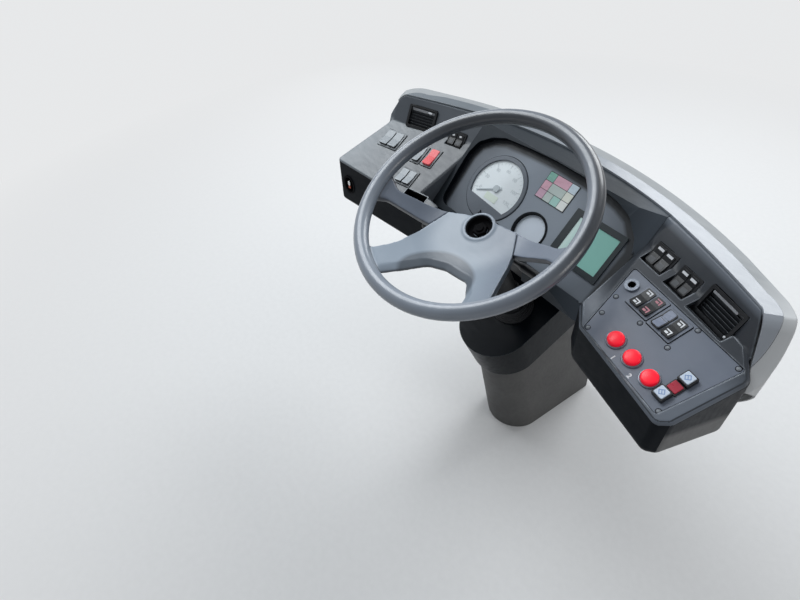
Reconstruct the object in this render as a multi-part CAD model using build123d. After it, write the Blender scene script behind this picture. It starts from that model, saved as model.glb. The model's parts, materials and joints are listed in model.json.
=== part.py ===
from build123d import *
import math
import os

os.makedirs("parts", exist_ok=True)

# Steering wheel and column axis
WHEEL_D = 450.0
WHEEL_H = 790.0
WHEEL_TILT = 24.0
RIM_TUBE = 29.0
HUB_HOLE_D = 51.0
FIT = 0.4
MOVE_GAP = 6.0
WALL = 4.0

AXIS_Y = math.sin(math.radians(WHEEL_TILT))
AXIS_Z = math.cos(math.radians(WHEEL_TILT))
WHEEL_Y = -WHEEL_H * AXIS_Y / AXIS_Z


def from_wheel(x, y, z):
    return (x, y + WHEEL_Y, z + WHEEL_H)


def axis_point(s):
    return (0, WHEEL_Y - s * AXIS_Y, WHEEL_H + s * AXIS_Z)


def axis_plane(s):
    return Plane(origin=axis_point(s), x_dir=(1, 0, 0), z_dir=(0, -AXIS_Y, AXIS_Z))


def tilted_plane(origin, turn, tilt):
    a = math.radians(turn)
    b = math.radians(tilt)
    x_dir = (math.cos(a), math.sin(a), 0)
    z_dir = (math.sin(a) * math.sin(b), -math.cos(a) * math.sin(b), math.cos(b))
    return Plane(origin=origin, x_dir=x_dir, z_dir=z_dir)


def slab(plane, outline, thick, round_by=0.0):
    face = make_face(Polyline(*outline, close=True).edges())
    if round_by:
        face = fillet(face.vertices(), round_by)
    return extrude(plane * face, thick, dir=plane.z_dir)


def plate(plane, u, v, w, h, thick, round_by=0.0):
    face = RectangleRounded(w, h, round_by) if round_by else Rectangle(w, h)
    return extrude(plane * Pos(u, v) * face, thick, dir=plane.z_dir)


def disc(plane, u, v, d, thick):
    return extrude(plane * Pos(u, v) * Circle(d / 2), thick, dir=plane.z_dir)


def ring(plane, u, v, d, bore, thick):
    return extrude(plane * Pos(u, v) * (Circle(d / 2) - Circle(bore / 2)), thick, dir=plane.z_dir)


def lowered(plane, by):
    return plane.offset(-by)


def rounded(corners):
    points = [(x, y) for x, y, radius in corners]
    path = FilletPolyline(*points, radius=[radius for x, y, radius in corners], close=True)
    return make_face(path.edges())


def prism(face, low, height):
    return extrude(Pos(0, 0, low) * face, height, dir=(0, 0, 1))


def on_plane(plane, edge):
    depths = [plane.to_local_coords(edge @ t).Z for t in (0, 0.5, 1)]
    return max(abs(d) for d in depths) < 0.01


# Dash mouldings, measured from the wheel centre
LIP_X = 334.0
LIP_MID_Y = 283.0
LIP_END_Y = 215.0
CORNER_X = 436.0
CORNER_Y = 160.0
SIDE_X = 472.0
COVER_MID_Y = 330.0
COVER_X = 365.0
COVER_END_Y = 253.0
COVER_CORNER_X = 440.0
COVER_CORNER_Y = 216.0
COVER_SIDE_X = 496.0
COVER_LEFT_X = 456.0
HOOD_X = 224.0
LEFT_BASE = -232.0
RIGHT_BASE = -203.0
SHELL_BASE = -215.0
LIP_DROP = 3.0

LEDGE_TURN = 13.5
LEDGE_TILT = 22.0
LEDGE = tilted_plane(from_wheel(-455, 127, -64), LEDGE_TURN, LEDGE_TILT)
POD_TURN = -11.1
POD_TILT = 21.1
POD = tilted_plane(from_wheel(259, 34, -111), POD_TURN, POD_TILT)

POD_EDGE = POD.offset(3.0)
POD_TOP = POD.offset(2.0)

LEFT_PLAN = [
    (-HOOD_X, 61), (-170, 61), (-158, 36), (-470, -14), (-456, 126), (-459, 147), (-CORNER_X, 168),
]
RIGHT_PLAN = [(HOOD_X, 60), (252, 31), (441, -20), (458, -6), (489, 105), (CORNER_X, 168)]
PLAN_ROUND = {-1: 9.0, 1: 16.0}


def lip_y(x):
    radius = (LIP_X ** 2 + (LIP_MID_Y - LIP_END_Y) ** 2) / (2 * (LIP_MID_Y - LIP_END_Y))
    return LIP_MID_Y - radius + math.sqrt(radius ** 2 - x ** 2)


def plan_point(x, y):
    return (x, y + WHEEL_Y)


def wing_face(side, plan, inset):
    inner = (side * HOOD_X, lip_y(HOOD_X))
    middle = (side * 350, lip_y(350) - 2)
    ends = [plan_point(*p) for p in plan]
    lines = Polyline(*ends).edges()
    lines += ThreePointArc(ends[-1], plan_point(*middle), plan_point(*inner)).edges()
    lines += Line(plan_point(*inner), ends[0]).edges()
    face = make_face(lines)
    front = face.vertices().filter_by(lambda p: p.Y < plan_point(0, 130)[1] and abs(p.X) > HOOD_X + 1)
    front += face.vertices().filter_by(lambda p: HOOD_X - 60 > abs(p.X))
    face = fillet(front, PLAN_ROUND[side])
    if inset:
        face = offset(face, -inset, kind=Kind.INTERSECTION)
    return face


def panel_air(panel):
    return extrude(panel * Rectangle(4 * WHEEL_H, 4 * WHEEL_H), WHEEL_H, dir=panel.z_dir)


# Risers behind the ledge and the pod: ruled between a low line and the lip
RISER_LOW = -90.0
RISER_TOP = 2.0
RISER_DEEP = -180.0
SEAT_PROUD = 1.0


def riser_lip(side):
    lip = ((HOOD_X - 20, lip_y(HOOD_X - 20) - 2), (340, lip_y(340) - 3), (SIDE_X + 30, 134))
    return [(side * x, y) for x, y in lip]


def riser_air(side, back, panel, inset):
    lines = []
    for points in (back, riser_lip(side)):
        lines.append([(x, y + inset * 1.3) for x, y in points])
    sections = []
    for z in (RISER_DEEP, RISER_TOP):
        t = (z - RISER_LOW) / (RISER_TOP - RISER_LOW)
        points = [(p[0] + (q[0] - p[0]) * t, p[1] + (q[1] - p[1]) * t) for p, q in zip(*lines)]
        a, b, c = [plan_point(*p) for p in points]
        near = WHEEL_Y - 200
        edges = ThreePointArc(a, b, c).edges()
        inner_x = side * (HOOD_X - 90)
        edges += Polyline(c, (c[0], near), (inner_x, near), (inner_x, a[1]), a).edges()
        sections.append(Pos(0, 0, z + WHEEL_H) * make_face(edges))
    return loft(sections, ruled=True) & panel_air(panel)


# Sloping ends of the dash: how far out along the turned line, height, rounding
SWOOP_TURN = 50.0
SWOOP_OUT = {-1: 0.0, 1: 11.0}
SWOOP = [(60, 3, 0), (158, 3, 38), (213, -86, 110), (320, -150, 300), (460, -212, 0)]


def end_air(side, drop):
    a = math.radians(SWOOP_TURN)
    out = SWOOP_OUT[side]
    plane = Plane(
        origin=from_wheel(side * math.cos(a) * out, -math.sin(a) * out, -drop),
        x_dir=(side * math.cos(a), -math.sin(a), 0),
        z_dir=(-math.sin(a), -side * math.cos(a), 0),
    )
    line = FilletPolyline(*[(d, z) for d, z, r in SWOOP], radius=[r for d, z, r in SWOOP[1:-1]])
    edges = line.edges()
    edges += Polyline((SWOOP[-1][0], SWOOP[-1][1]), (SWOOP[-1][0], 90), (60, 90), (60, 3)).edges()
    return extrude(plane * make_face(edges), WHEEL_H, both=True)


EDGE_ROUND = {-1: 5.0, 1: 8.0}


def wing(side, plan, back, panel, inner_panel, wing_base, belly):
    solids = []
    for inset in (0.0, WALL):
        top = inner_panel if inset else panel
        base = wing_base + inset + WHEEL_H
        body = prism(wing_face(side, plan, inset), base, WHEEL_H - LIP_DROP - inset - base)
        body = fillet(body.edges().group_by(Axis.Z)[0], belly - inset)
        body -= riser_air(side, back, top, inset)
        if not inset:
            rim = body.edges().filter_by(lambda e: on_plane(panel, e) and (e @ 0.5).Y < plan_point(0, 133)[1])
            body = fillet(rim, EDGE_ROUND[side])
        body -= end_air(side, LIP_DROP + 1.5 * inset) & panel_air(top)
        solids.append(body)
    mouth = prism(wing_face(side, plan, 16), wing_base + WHEEL_H - 1, WALL + 3)
    return solids[0] - solids[1] - mouth


LEFT_BACK = ((-HOOD_X + 20, 182), (-340, 151), (-SIDE_X - 30, 114))
RIGHT_BACK = ((HOOD_X - 20, 172), (350, 149), (SIDE_X + 30, 112))



def arc_y(points, x):
    (x0, y0), (x1, y1), (x2, y2) = points
    a, b = x1 - x0, y1 - y0
    c, d = x2 - x0, y2 - y0
    e, f = (a * a + b * b) / 2, (c * c + d * d) / 2
    turn = a * d - b * c
    cx, cy = (e * d - b * f) / turn, (a * f - e * c) / turn
    return y0 + cy + math.sqrt(cx * cx + cy * cy - (x - x0 - cx) ** 2)


def riser_y(side, back, x, z):
    t = (z - RISER_LOW) / (RISER_TOP - RISER_LOW)
    lines = zip(back, riser_lip(side))
    return arc_y([(p[0] + (q[0] - p[0]) * t, p[1] + (q[1] - p[1]) * t) for p, q in lines], x)


def riser_seat(side, back, x, z):
    along = riser_y(side, back, x + 0.5, z) - riser_y(side, back, x - 0.5, z)
    rise = riser_y(side, back, x, z + 0.5) - riser_y(side, back, x, z - 0.5)
    tilt = math.degrees(math.atan2(math.hypot(along, 1), rise))
    origin = from_wheel(x, riser_y(side, back, x, z), z)
    return tilted_plane(origin, math.degrees(math.atan(along)), tilt).offset(SEAT_PROUD)


# Instrument cluster, flat panel behind the hood opening
CLUSTER_TILT = 45.6
CLUSTER_DEPTH = 180.0
CT = math.radians(CLUSTER_TILT)
CLUSTER = tilted_plane(
    from_wheel(0, CLUSTER_DEPTH * math.sin(CT), -CLUSTER_DEPTH * math.cos(CT)), 0, CLUSTER_TILT
)
HOOD_RISE = 14.0
OPENING = [
    (-206, -34), (-214, 45), (-216, 87), (-208, 116), (-182, 138), (-151, 150), (-86, 156), (-16, 160),
    (52, 159), (109, 155), (140, 150), (173, 139), (202, 112), (214, 87), (212, 20), (204, -30),
]
OPENING_ROUND = 22.0
NOTCH_W = 132.0
NOTCH_TOP = -23.0
FACET_START = (165.0, 98.0, 0.0)


def opening_face(grow):
    face = make_face(Polyline(*OPENING, close=True).edges())
    face = fillet(face.vertices(), OPENING_ROUND)
    return offset(face, grow, kind=Kind.INTERSECTION) if grow else face


def hood_facet():
    low = Vector(*from_wheel(HOOD_X, riser_y(1, RIGHT_BACK, HOOD_X, RISER_LOW), RISER_LOW))
    high = Vector(*from_wheel(HOOD_X, riser_y(1, RIGHT_BACK, HOOD_X, RISER_TOP), RISER_TOP))
    across = low - CLUSTER.offset(HOOD_RISE).from_local_coords(Vector(*FACET_START))
    return Plane(origin=low, x_dir=across, z_dir=across.cross(high - low))


def hood():
    tip = CLUSTER.offset(HOOD_RISE)
    sin_t = math.sin(CT)
    cos_t = math.cos(CT)

    def on_hood(v, extra):
        y = (CLUSTER_DEPTH - HOOD_RISE) * sin_t + v * cos_t + extra * sin_t
        z = -(CLUSTER_DEPTH - HOOD_RISE) * cos_t + v * sin_t - extra * cos_t
        return (y + WHEEL_Y, z + WHEEL_H)

    solids = []
    for inset in (0.0, WALL):
        top = on_hood(160, inset)
        low = on_hood(-46, inset)
        points = [
            (LIP_MID_Y + WHEEL_Y + 10, WHEEL_H - LIP_DROP - inset),
            (LIP_MID_Y + WHEEL_Y - 6, WHEEL_H - LIP_DROP - inset),
            top,
            low,
            (low[0], SHELL_BASE + 40 + WHEEL_H - inset),
            (LIP_MID_Y + WHEEL_Y + 10, SHELL_BASE + 40 + WHEEL_H - inset),
        ]
        face = make_face(Polyline(*points, close=True).edges())
        half = HOOD_X - FIT - inset
        block = extrude(Plane.YZ.offset(-half) * face, 2 * half, dir=(1, 0, 0))
        solids.append(block - panel_air(hood_facet().offset(-inset)))
    trims = []
    for inset in (0.0, WALL):
        edges = ThreePointArc(
            plan_point(-HOOD_X, lip_y(HOOD_X) - inset),
            plan_point(0, LIP_MID_Y - inset),
            plan_point(HOOD_X, lip_y(HOOD_X) - inset),
        ).edges()
        edges += Polyline(
            plan_point(HOOD_X, lip_y(HOOD_X) - inset),
            plan_point(HOOD_X, -100),
            plan_point(-HOOD_X, -100),
            plan_point(-HOOD_X, lip_y(HOOD_X) - inset),
        ).edges()
        trims.append(extrude(Pos(0, 0, 300) * make_face(edges), 700, dir=(0, 0, 1)))
    body = (solids[0] & trims[0]) - (solids[1] & trims[1])
    opening = extrude(tip.offset(30) * opening_face(0), -50, dir=tip.z_dir)
    notch = plate(tip.offset(-90), 0, NOTCH_TOP - 60, NOTCH_W, 120, 200, 30)
    collar = CLUSTER.offset(FIT) * (opening_face(3) - opening_face(0))
    collar = extrude(collar, HOOD_RISE - FIT - 1, dir=tip.z_dir)
    slot = extrude(CLUSTER.offset(FIT) * opening_face(3 + FIT), -PANEL_T - 2 * FIT, dir=tip.z_dir)
    return body - opening + collar - notch - panel_air(hood_facet()) - slot, notch


FLANGE_W = 22.0
STRIP_T = 5.0
COVER_NEAR = 70.0


def shell_face(grow, near=0.0):
    side = COVER_SIDE_X + grow
    corner = (COVER_CORNER_X + grow * 0.7, COVER_CORNER_Y + grow * 0.7)
    end = (COVER_X, COVER_END_Y + grow)
    left = -COVER_LEFT_X - grow
    edges = ThreePointArc(
        plan_point(-end[0], end[1]), plan_point(0, COVER_MID_Y + grow), plan_point(*end)
    ).edges()
    edges += Line(plan_point(*end), plan_point(*corner)).edges()
    edges += ThreePointArc(plan_point(*corner), plan_point(side - 12, 176), plan_point(side, 128)).edges()
    right = [(side, 128), (side - 10, 40), (side - 32, -12)]
    if near:
        right.append((side - 32, -12 - near))
    low_left = [(left, 160 - near)]
    low_left.append((left, 190 + grow * 0.5))
    edges += Polyline(*[plan_point(*p) for p in right + low_left]).edges()
    edges += ThreePointArc(
        plan_point(*low_left[-1]), plan_point(left + 9, 213 + grow * 0.8), plan_point(left + 30, 228 + grow)
    ).edges()
    edges += Line(plan_point(left + 30, 228 + grow), plan_point(-end[0], end[1])).edges()
    return make_face(edges)


def cover_block(grow, near):
    body = prism(shell_face(grow, near), SHELL_BASE + WHEEL_H, -SHELL_BASE)
    for side in (-1, 1):
        body -= end_air(side, 0)
    return body


def rolled(edge):
    ends = edge @ 0, edge @ 1
    upright = math.hypot(ends[0].X - ends[1].X, ends[0].Y - ends[1].Y) < 0.1
    outside = (edge @ 0.5).Y > WHEEL_Y + 150 or (edge @ 0.5).X > COVER_SIDE_X - 26
    return outside and not upright and max(p.Z for p in ends) > SHELL_BASE + WHEEL_H + 1


# Lower edge of the shell at its right end: distance along the turned line, height
TRIM_NEAR = 150.0
TRIM_FAR = 420.0
TRIM = [(TRIM_NEAR, SHELL_BASE - 1), (206, -128), (240, -84)]


def end_trim():
    a = math.radians(SWOOP_TURN)
    x_dir = (math.cos(a), -math.sin(a), 0)
    z_dir = (-math.sin(a), -math.cos(a), 0)
    plane = Plane(origin=from_wheel(0, 0, 0), x_dir=x_dir, z_dir=z_dir)
    low = SHELL_BASE - 30
    line = [(TRIM_NEAR, low), *TRIM, (TRIM_FAR, TRIM[-1][1]), (TRIM_FAR, low)]
    return extrude(plane * make_face(Polyline(*line, close=True).edges()), WHEEL_H, both=True)


def outer_shell():
    body = cover_block(0, 0)
    body = fillet(body.edges().filter_by(rolled), WALL)
    body -= Pos(0, 0, -WALL) * cover_block(-WALL, COVER_NEAR)
    body -= prism(shell_face(-FLANGE_W, COVER_NEAR), SHELL_BASE + WHEEL_H - 1, WHEEL_H)
    body -= prism(wing_face(1, RIGHT_PLAN, -FIT), SHELL_BASE + WHEEL_H - 50, WHEEL_H)
    body -= prism(wing_face(-1, LEFT_PLAN, -FIT), SHELL_BASE + WHEEL_H - 50, WHEEL_H)
    return body - end_trim()


def lip_face(grow):
    corner = (CORNER_X, CORNER_Y + 8)
    middle = (350, lip_y(350) - 2)
    hood_at = (HOOD_X, lip_y(HOOD_X))
    edges = ThreePointArc(
        plan_point(-hood_at[0], hood_at[1] + grow), plan_point(0, LIP_MID_Y + grow),
        plan_point(hood_at[0], hood_at[1] + grow)
    ).edges()
    for side in (1, -1):
        a = plan_point(side * hood_at[0], hood_at[1] + grow)
        b = plan_point(side * middle[0], middle[1] + grow)
        c = plan_point(side * corner[0], corner[1] + grow)
        edges += ThreePointArc(a, b, c).edges()
    outer = RIGHT_PLAN[-2]
    edges += Polyline(
        plan_point(corner[0], corner[1] + grow), plan_point(outer[0] + grow, outer[1]),
        plan_point(outer[0] + grow, -80), plan_point(-COVER_LEFT_X - 40, -80),
        plan_point(-COVER_LEFT_X - 40, CORNER_Y + 8 + grow), plan_point(-corner[0], corner[1] + grow)
    ).edges()
    return make_face(edges)


def top_strip():
    face = shell_face(-FLANGE_W - FIT, 0) - lip_face(FIT)
    body = prism(face, WHEEL_H - 260, 260.5)
    for side in (-1, 1):
        body -= end_air(side, -0.5)
    return body - Pos(0, 0, -STRIP_T) * body


# Switches: frame on the panel, body through a pocket, rocker caps on top
FRAME_T = 2.0
SWITCH_DEEP = 26.0
CAP_GAP = 1.8
CAP_ROUND = 2.5


def rocker_set(plane, u, v, w, h, keys, turn=0.0):
    seat = plane * Pos(u, v) * Rot(0, 0, turn)
    frame = extrude(seat * RectangleRounded(w, h, 2), FRAME_T, dir=plane.z_dir)
    body = extrude(seat * Rectangle(w - 6, h - 6), -SWITCH_DEEP, dir=plane.z_dir)
    out = frame + body
    pitch = (w - 6) / keys
    half = (h - 8) / 2
    for k in range(keys):
        x = (k - (keys - 1) / 2) * pitch
        side = [(-half, 1.0), (half, 1.0), (half, 4.2), (half * 0.1, 3.4), (-half, 7.5)]
        cap = make_face(Polyline(*side, close=True).edges())
        cap = extrude(Plane.YZ * cap, pitch / 2 - CAP_GAP, both=True)
        cap = fillet(cap.edges().filter_by(Axis.Z), CAP_ROUND)
        out += seat * Pos(x, 0, 0) * cap
    return out


def pocket(plane, u, v, w, h, turn=0.0):
    seat = plane * Pos(u, v) * Rot(0, 0, turn)
    hole = extrude(seat * Rectangle(w - 6 + 2 * FIT, h - 6 + 2 * FIT), -SWITCH_DEEP - 2, dir=plane.z_dir)
    return hole + extrude(seat * Rectangle(w + 2 * FIT, h + 2 * FIT), 20, dir=plane.z_dir)


POD_TOP = POD.offset(2.0)

#  name, panel, u, v, width, height, rockers, turn
ROCKERS = [
    ("ledge_rockers_rear", "ledge", 47, -40, 56, 50, 2, 2),
    ("ledge_rocker_dark", "ledge", 138, -48, 27, 50, 1, 2),
    ("hazard_rocker", "ledge", 170, -45, 30, 52, 1, 2),
    ("ledge_rockers_front", "ledge", 150, -114, 48, 44, 2, 2),
    ("riser_rockers_left", "riser_l", 0, 0, 44, 34, 2, 0),
    ("riser_rockers_a", "riser_a", 0, 0, 48, 40, 2, 0),
    ("riser_rockers_b", "riser_b", 0, 0, 44, 40, 2, 0),
    ("pod_rockers_a", "pod", 25, 103, 49, 47, 2, 0),
    ("pod_rockers_b", "pod", 76, 101, 49, 46, 2, 0),
]
PANELS = {
    "ledge": LEDGE,
    "riser_l": riser_seat(-1, LEFT_BACK, -273, -54.5),
    "riser_a": riser_seat(1, RIGHT_BACK, 262, -46),
    "riser_b": riser_seat(1, RIGHT_BACK, 320, -48),
    "pod": POD_TOP,
}
ON_LEFT = ("ledge", "riser_l")

VENT_W = 76.0
VENT_H = 50.0
VENT_DEEP = 22.0
#  name, seat, u, v, tab place, tab width
VENTS = [
    ("vent_left", riser_seat(-1, LEFT_BACK, -377, -38.5), 0, 0, 20, 10),
    ("vent_right", riser_seat(1, RIGHT_BACK, 392, -44), 0, 0, -4, 52),
]


def vent(plane, u, v, bar_u, bar_w):
    seat = plane * Pos(u, v)
    body = extrude(seat * RectangleRounded(VENT_W, VENT_H, 3), 3, dir=plane.z_dir)
    body += extrude(seat * Rectangle(VENT_W - 6, VENT_H - 6), -VENT_DEEP, dir=plane.z_dir)
    body -= extrude(plane.offset(-VENT_DEEP + 3) * Pos(u, v) * Rectangle(VENT_W - 11, VENT_H - 11), 40, dir=plane.z_dir)
    for k in range(6):
        z = (k - 2.5) * (VENT_H - 11) / 6
        slat = Rot(35, 0, 0) * Box(VENT_W - 10.5, 7, 1.2)
        body += plane.offset(-5).location * Pos(u, v + z, 0) * slat
    return body + plate(plane.offset(-8), u + bar_u, v + 17, bar_w, 4, 10.5, 1.5)


def vent_pocket(plane, u, v):
    seat = plane * Pos(u, v)
    hole = extrude(seat * Rectangle(VENT_W - 6 + 2 * FIT, VENT_H - 6 + 2 * FIT), -60, dir=plane.z_dir)
    return hole + extrude(seat * Rectangle(VENT_W + 2 * FIT, VENT_H + 2 * FIT), 20, dir=plane.z_dir)


FRONT_TURN = math.degrees(math.atan2(50, 312))
TOGGLE = tilted_plane(from_wheel(-432.5, -8.1, -175), FRONT_TURN, 90)


def toggle_hole(inset):
    return extrude(TOGGLE.offset(-40) * Ellipse(17 - inset, 22 - inset), 80, dir=TOGGLE.z_dir)


def front_toggle():
    out = extrude(TOGGLE.offset(-16) * Ellipse(17 - FIT, 22 - FIT), 16.5, dir=TOGGLE.z_dir)
    out += extrude(TOGGLE.offset(0.2) * (Ellipse(19.5, 24.5) - Ellipse(15, 20)), 1.2, dir=TOGGLE.z_dir)
    out -= extrude(TOGGLE.offset(-12) * Ellipse(15, 20), 30, dir=TOGGLE.z_dir)
    return out + plate(TOGGLE.offset(-13), 0, 0, 9, 22, 12, 2)


POD_OUTLINE = [(0, 0), (178, -9), (194, 127), (-42, 133)]
PUSH = [("push_button_a", 50, 24), ("push_button_b", 90, 22), ("push_button_c", 131, 20)]
KEYS = [("key_light_a", 160, 17, 8), ("key_red", 162, 38, 2), ("key_light_b", 163, 59, 8)]
PUSH_D = 33.0
KEY_W = 21.0
SOCKET = (-17, 107, 24.0)


def push_button(u, v):
    out = disc(POD_TOP, u, v, PUSH_D, 3) + disc(POD_TOP.offset(-24), u, v, PUSH_D - 8, 27)
    dome = Pos(0, 0, -14.5) * Sphere(26) & Pos(0, 0, 6) * Cylinder(13, 12)
    return out + POD_TOP.location * Pos(u, v, 0) * dome


def key_light(u, v, height):
    out = plate(POD_TOP, u, v, KEY_W, KEY_W, height, 1.5)
    out += plate(POD_TOP.offset(-20), u, v, KEY_W - 6, KEY_W - 6, 21)
    return out + plate(POD_TOP, u, v, KEY_W - 2, KEY_W - 2, height + 2.5, 2)


def pod_recess():
    face = fillet(make_face(Polyline(*POD_OUTLINE, close=True).edges()).vertices(), 4)
    return extrude(POD * offset(face, 0.8), 30, dir=POD.z_dir)


def pod_plate():
    body = slab(POD.offset(FIT / 4), POD_OUTLINE, 2.0 - FIT / 4, 4)
    for name, panel, u, v, w, h, keys, turn in ROCKERS:
        if panel == "pod":
            body -= pocket(POD_TOP, u, v, w, h, turn)
    for name, u, v in PUSH:
        body -= disc(POD_TOP.offset(-10), u, v, PUSH_D - 8 + 2 * FIT, 20)
    for name, u, v, height in KEYS:
        body -= plate(POD_TOP.offset(-10), u, v, KEY_W - 6 + 2 * FIT, KEY_W - 6 + 2 * FIT, 20)
    return body - disc(POD_TOP.offset(-10), SOCKET[0], SOCKET[1], SOCKET[2] - 6 + 2 * FIT, 20)


def socket():
    out = disc(POD_TOP, SOCKET[0], SOCKET[1], SOCKET[2], 4)
    out += disc(POD_TOP.offset(-24), SOCKET[0], SOCKET[1], SOCKET[2] - 6, 25)
    return out - disc(POD_TOP.offset(-16), SOCKET[0], SOCKET[1], SOCKET[2] - 11, 30)


# Instruments on the cluster panel
PANEL_T = 3.0
SPEEDO = (-107.4, 54.5, 143.0)
SPEEDO_FACE_D = 125.0
SPEEDO_CHORD = (-35.0, 3.3)
GAUGE = (17.0, 21.0, 73.0)
MATRIX = (17.0, 113.0, 75.0, 57.0)
DISPLAY = (135.0, 58.0, 116.0, 100.0)
LCD = (138.0, 57.5, 92.0, 77.0)


def cluster_panel(notch):
    body = extrude(CLUSTER * opening_face(3), -PANEL_T, dir=CLUSTER.z_dir)
    body -= notch
    body -= disc(CLUSTER.offset(-20), SPEEDO[0], SPEEDO[1], SPEEDO[2] - 8, 40)
    body -= disc(CLUSTER.offset(-20), GAUGE[0], GAUGE[1], GAUGE[2], 40)
    body -= plate(CLUSTER.offset(-20), MATRIX[0], MATRIX[1], MATRIX[2] - 4, MATRIX[3] - 4, 40)
    return body - plate(CLUSTER.offset(-20), DISPLAY[0], DISPLAY[1], DISPLAY[2] - 6, DISPLAY[3] - 6, 40)


def speedo_seat(depth, inset):
    u, v, d = SPEEDO
    turn = Rot(0, 0, -SPEEDO_CHORD[1])
    low = Pos(0, SPEEDO_CHORD[0] - 100 + inset) * Rectangle(300, 200)
    face = Circle(SPEEDO_FACE_D / 2 - inset) - low
    return CLUSTER.offset(depth) * Pos(u, v) * turn * face


def speedometer():
    u, v, d = SPEEDO
    out = disc(CLUSTER, u, v, d, 2.5)
    out = chamfer(out.edges().sort_by(Axis(CLUSTER.origin, CLUSTER.z_dir))[-1], 1.2)
    out += disc(CLUSTER.offset(-28), u, v, d - 8 - 2 * FIT, 28.5)
    out -= extrude(speedo_seat(-4, 0), 20, dir=CLUSTER.z_dir)
    return out + disc(CLUSTER.offset(2), u, v - 58, 7, 5)


def speedo_face():
    return extrude(speedo_seat(-4 + FIT / 4, 0.3), 2, dir=CLUSTER.z_dir)


def speedo_needle():
    u, v, d = SPEEDO
    hub = disc(CLUSTER.offset(-2 + FIT / 4), u, v, 15, 3.5)
    blade = [(-2.2, -12), (2.2, -12), (0.8, 50), (-0.8, 50)]
    turn = CLUSTER.offset(-0.8).location * Pos(u, v, 0) * Rot(0, 0, 118)
    return hub + turn * extrude(make_face(Polyline(*blade, close=True).edges()), 1.2)


def small_gauge():
    u, v, d = GAUGE
    out = disc(CLUSTER.offset(-24), u, v, d - 2 * FIT, 23.6)
    out += ring(CLUSTER, u, v, d + 6, d - 2, 0.8) + ring(CLUSTER.offset(-2), u, v, d - 2 * FIT, d - 4, 2.5)
    return out - disc(CLUSTER.offset(-6), u, v, d - 4, 20)


def lamp_matrix():
    u, v, w, h = MATRIX
    out = plate(CLUSTER, u, v, w, h, 1.2) + plate(CLUSTER.offset(-12), u, v, w - 4 - 2 * FIT, h - 4 - 2 * FIT, 12.5)
    return out


def display_frame():
    u, v, w, h = DISPLAY
    out = plate(CLUSTER, u, v, w, h, 3, 2)
    out += plate(CLUSTER.offset(-15), u, v, w - 6 - 2 * FIT, h - 6 - 2 * FIT, 16)
    return out - plate(CLUSTER.offset(0.5), LCD[0], LCD[1], LCD[2], LCD[3], 10)


# Floor foot, post, cross beam and pivot of the tilting column
PIVOT_S = -520.0
PIVOT = axis_point(PIVOT_S)
FOOT_W = 136.0
FOOT_L = 176.0
FOOT_T = 10.0
FOOT_HOLE_D = 13.0
FOOT_X = 100.0
FOOT_Y = 130.0
POST_Y = 52.0
BEAM = (208.0, -236.0, 50.0)
JACKET_D = 60.0
TUBE_D = 48.0
SHAFT_D = 18.0
PIN_D = 16.0
CHEEK_X = 36.0
CUP_TOP = -372.0
JACKET_TOP = -300.0
CUP_BASE = -480.0
CUP_HALF = 88.0
CUP_FRONT = -140.0
CUP_BACK = 90.0


def column_foot():
    body = Pos(0, 0, FOOT_T / 2) * Box(FOOT_W, FOOT_L, FOOT_T)
    for x in (-FOOT_X / 2, FOOT_X / 2):
        for y in (-FOOT_Y / 2, FOOT_Y / 2):
            body -= Pos(x, y, FOOT_T / 2) * Cylinder(FOOT_HOLE_D / 2, 3 * FOOT_T)
    rib = [(POST_Y - 20 - FIT, FOOT_T), (POST_Y - 20 - FIT, 120), (POST_Y - 32, 120), (POST_Y - 100, FOOT_T)]
    face = make_face(Polyline(*rib, close=True).edges())
    for x in (-22, 14):
        body += extrude(Plane.YZ.offset(x) * face, 8, dir=(1, 0, 0))
    return body


def cross_beam():
    by, bz, size = BEAM
    beam = Pos(0, by + WHEEL_Y, bz + WHEEL_H - size / 2) * Box(780, size, size)
    beam = fillet(beam.edges().filter_by(Axis.X), 5)
    for x, top in ((-350, LEFT_BASE), (350, RIGHT_BASE)):
        low = BEAM[1] + WHEEL_H - 1
        foot = (low + top + WHEEL_H - FIT) / 2
        beam += Pos(x, BEAM[0] - 12 + WHEEL_Y, foot) * Box(50, 12, top + WHEEL_H - FIT - low)
    for x in (-300, 300):
        tab = Pos(x, 258 + WHEEL_Y, BEAM[1] + WHEEL_H - 3) * Box(40, 104, 6)
        tab += Pos(x, 306 + WHEEL_Y, BEAM[1] + WHEEL_H + 24) * Box(40, 8, 60)
        beam += tab & prism(shell_face(-WALL - FIT), 300, 500)
    return beam


def carrier_post():
    by, bz, size = BEAM
    beam_y = by + WHEEL_Y
    beam_z = bz + WHEEL_H - size / 2
    post_top = beam_z + size / 2
    out = Pos(0, POST_Y, (post_top + FOOT_T + FIT) / 2) * Box(60, 40, post_top - FOOT_T - FIT)
    reach = POST_Y - beam_y - size / 2 - FIT
    out += Pos(0, POST_Y - reach / 2, beam_z) * Box(60, reach, size)
    y, z = PIVOT[1], PIVOT[2]
    cheek = [(POST_Y - 20, z - 70), (POST_Y - 20, z - 10), (y + 10, z + 28), (y - 22, z + 18), (y - 24, z - 18)]
    face = fillet(make_face(Polyline(*cheek, close=True).edges()).vertices(), 6)
    for side in (-1, 1):
        out += extrude(Plane.YZ.offset(side * (CHEEK_X + 4) - 4) * face, 8, dir=(1, 0, 0))
        out += Pos(side * 35, POST_Y - 10, z - 40) * Box(18, 20, 60)
    return out - Pos(0, y, z) * Rot(0, 90, 0) * Cylinder(PIN_D / 2 + 0.3, 200)


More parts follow.
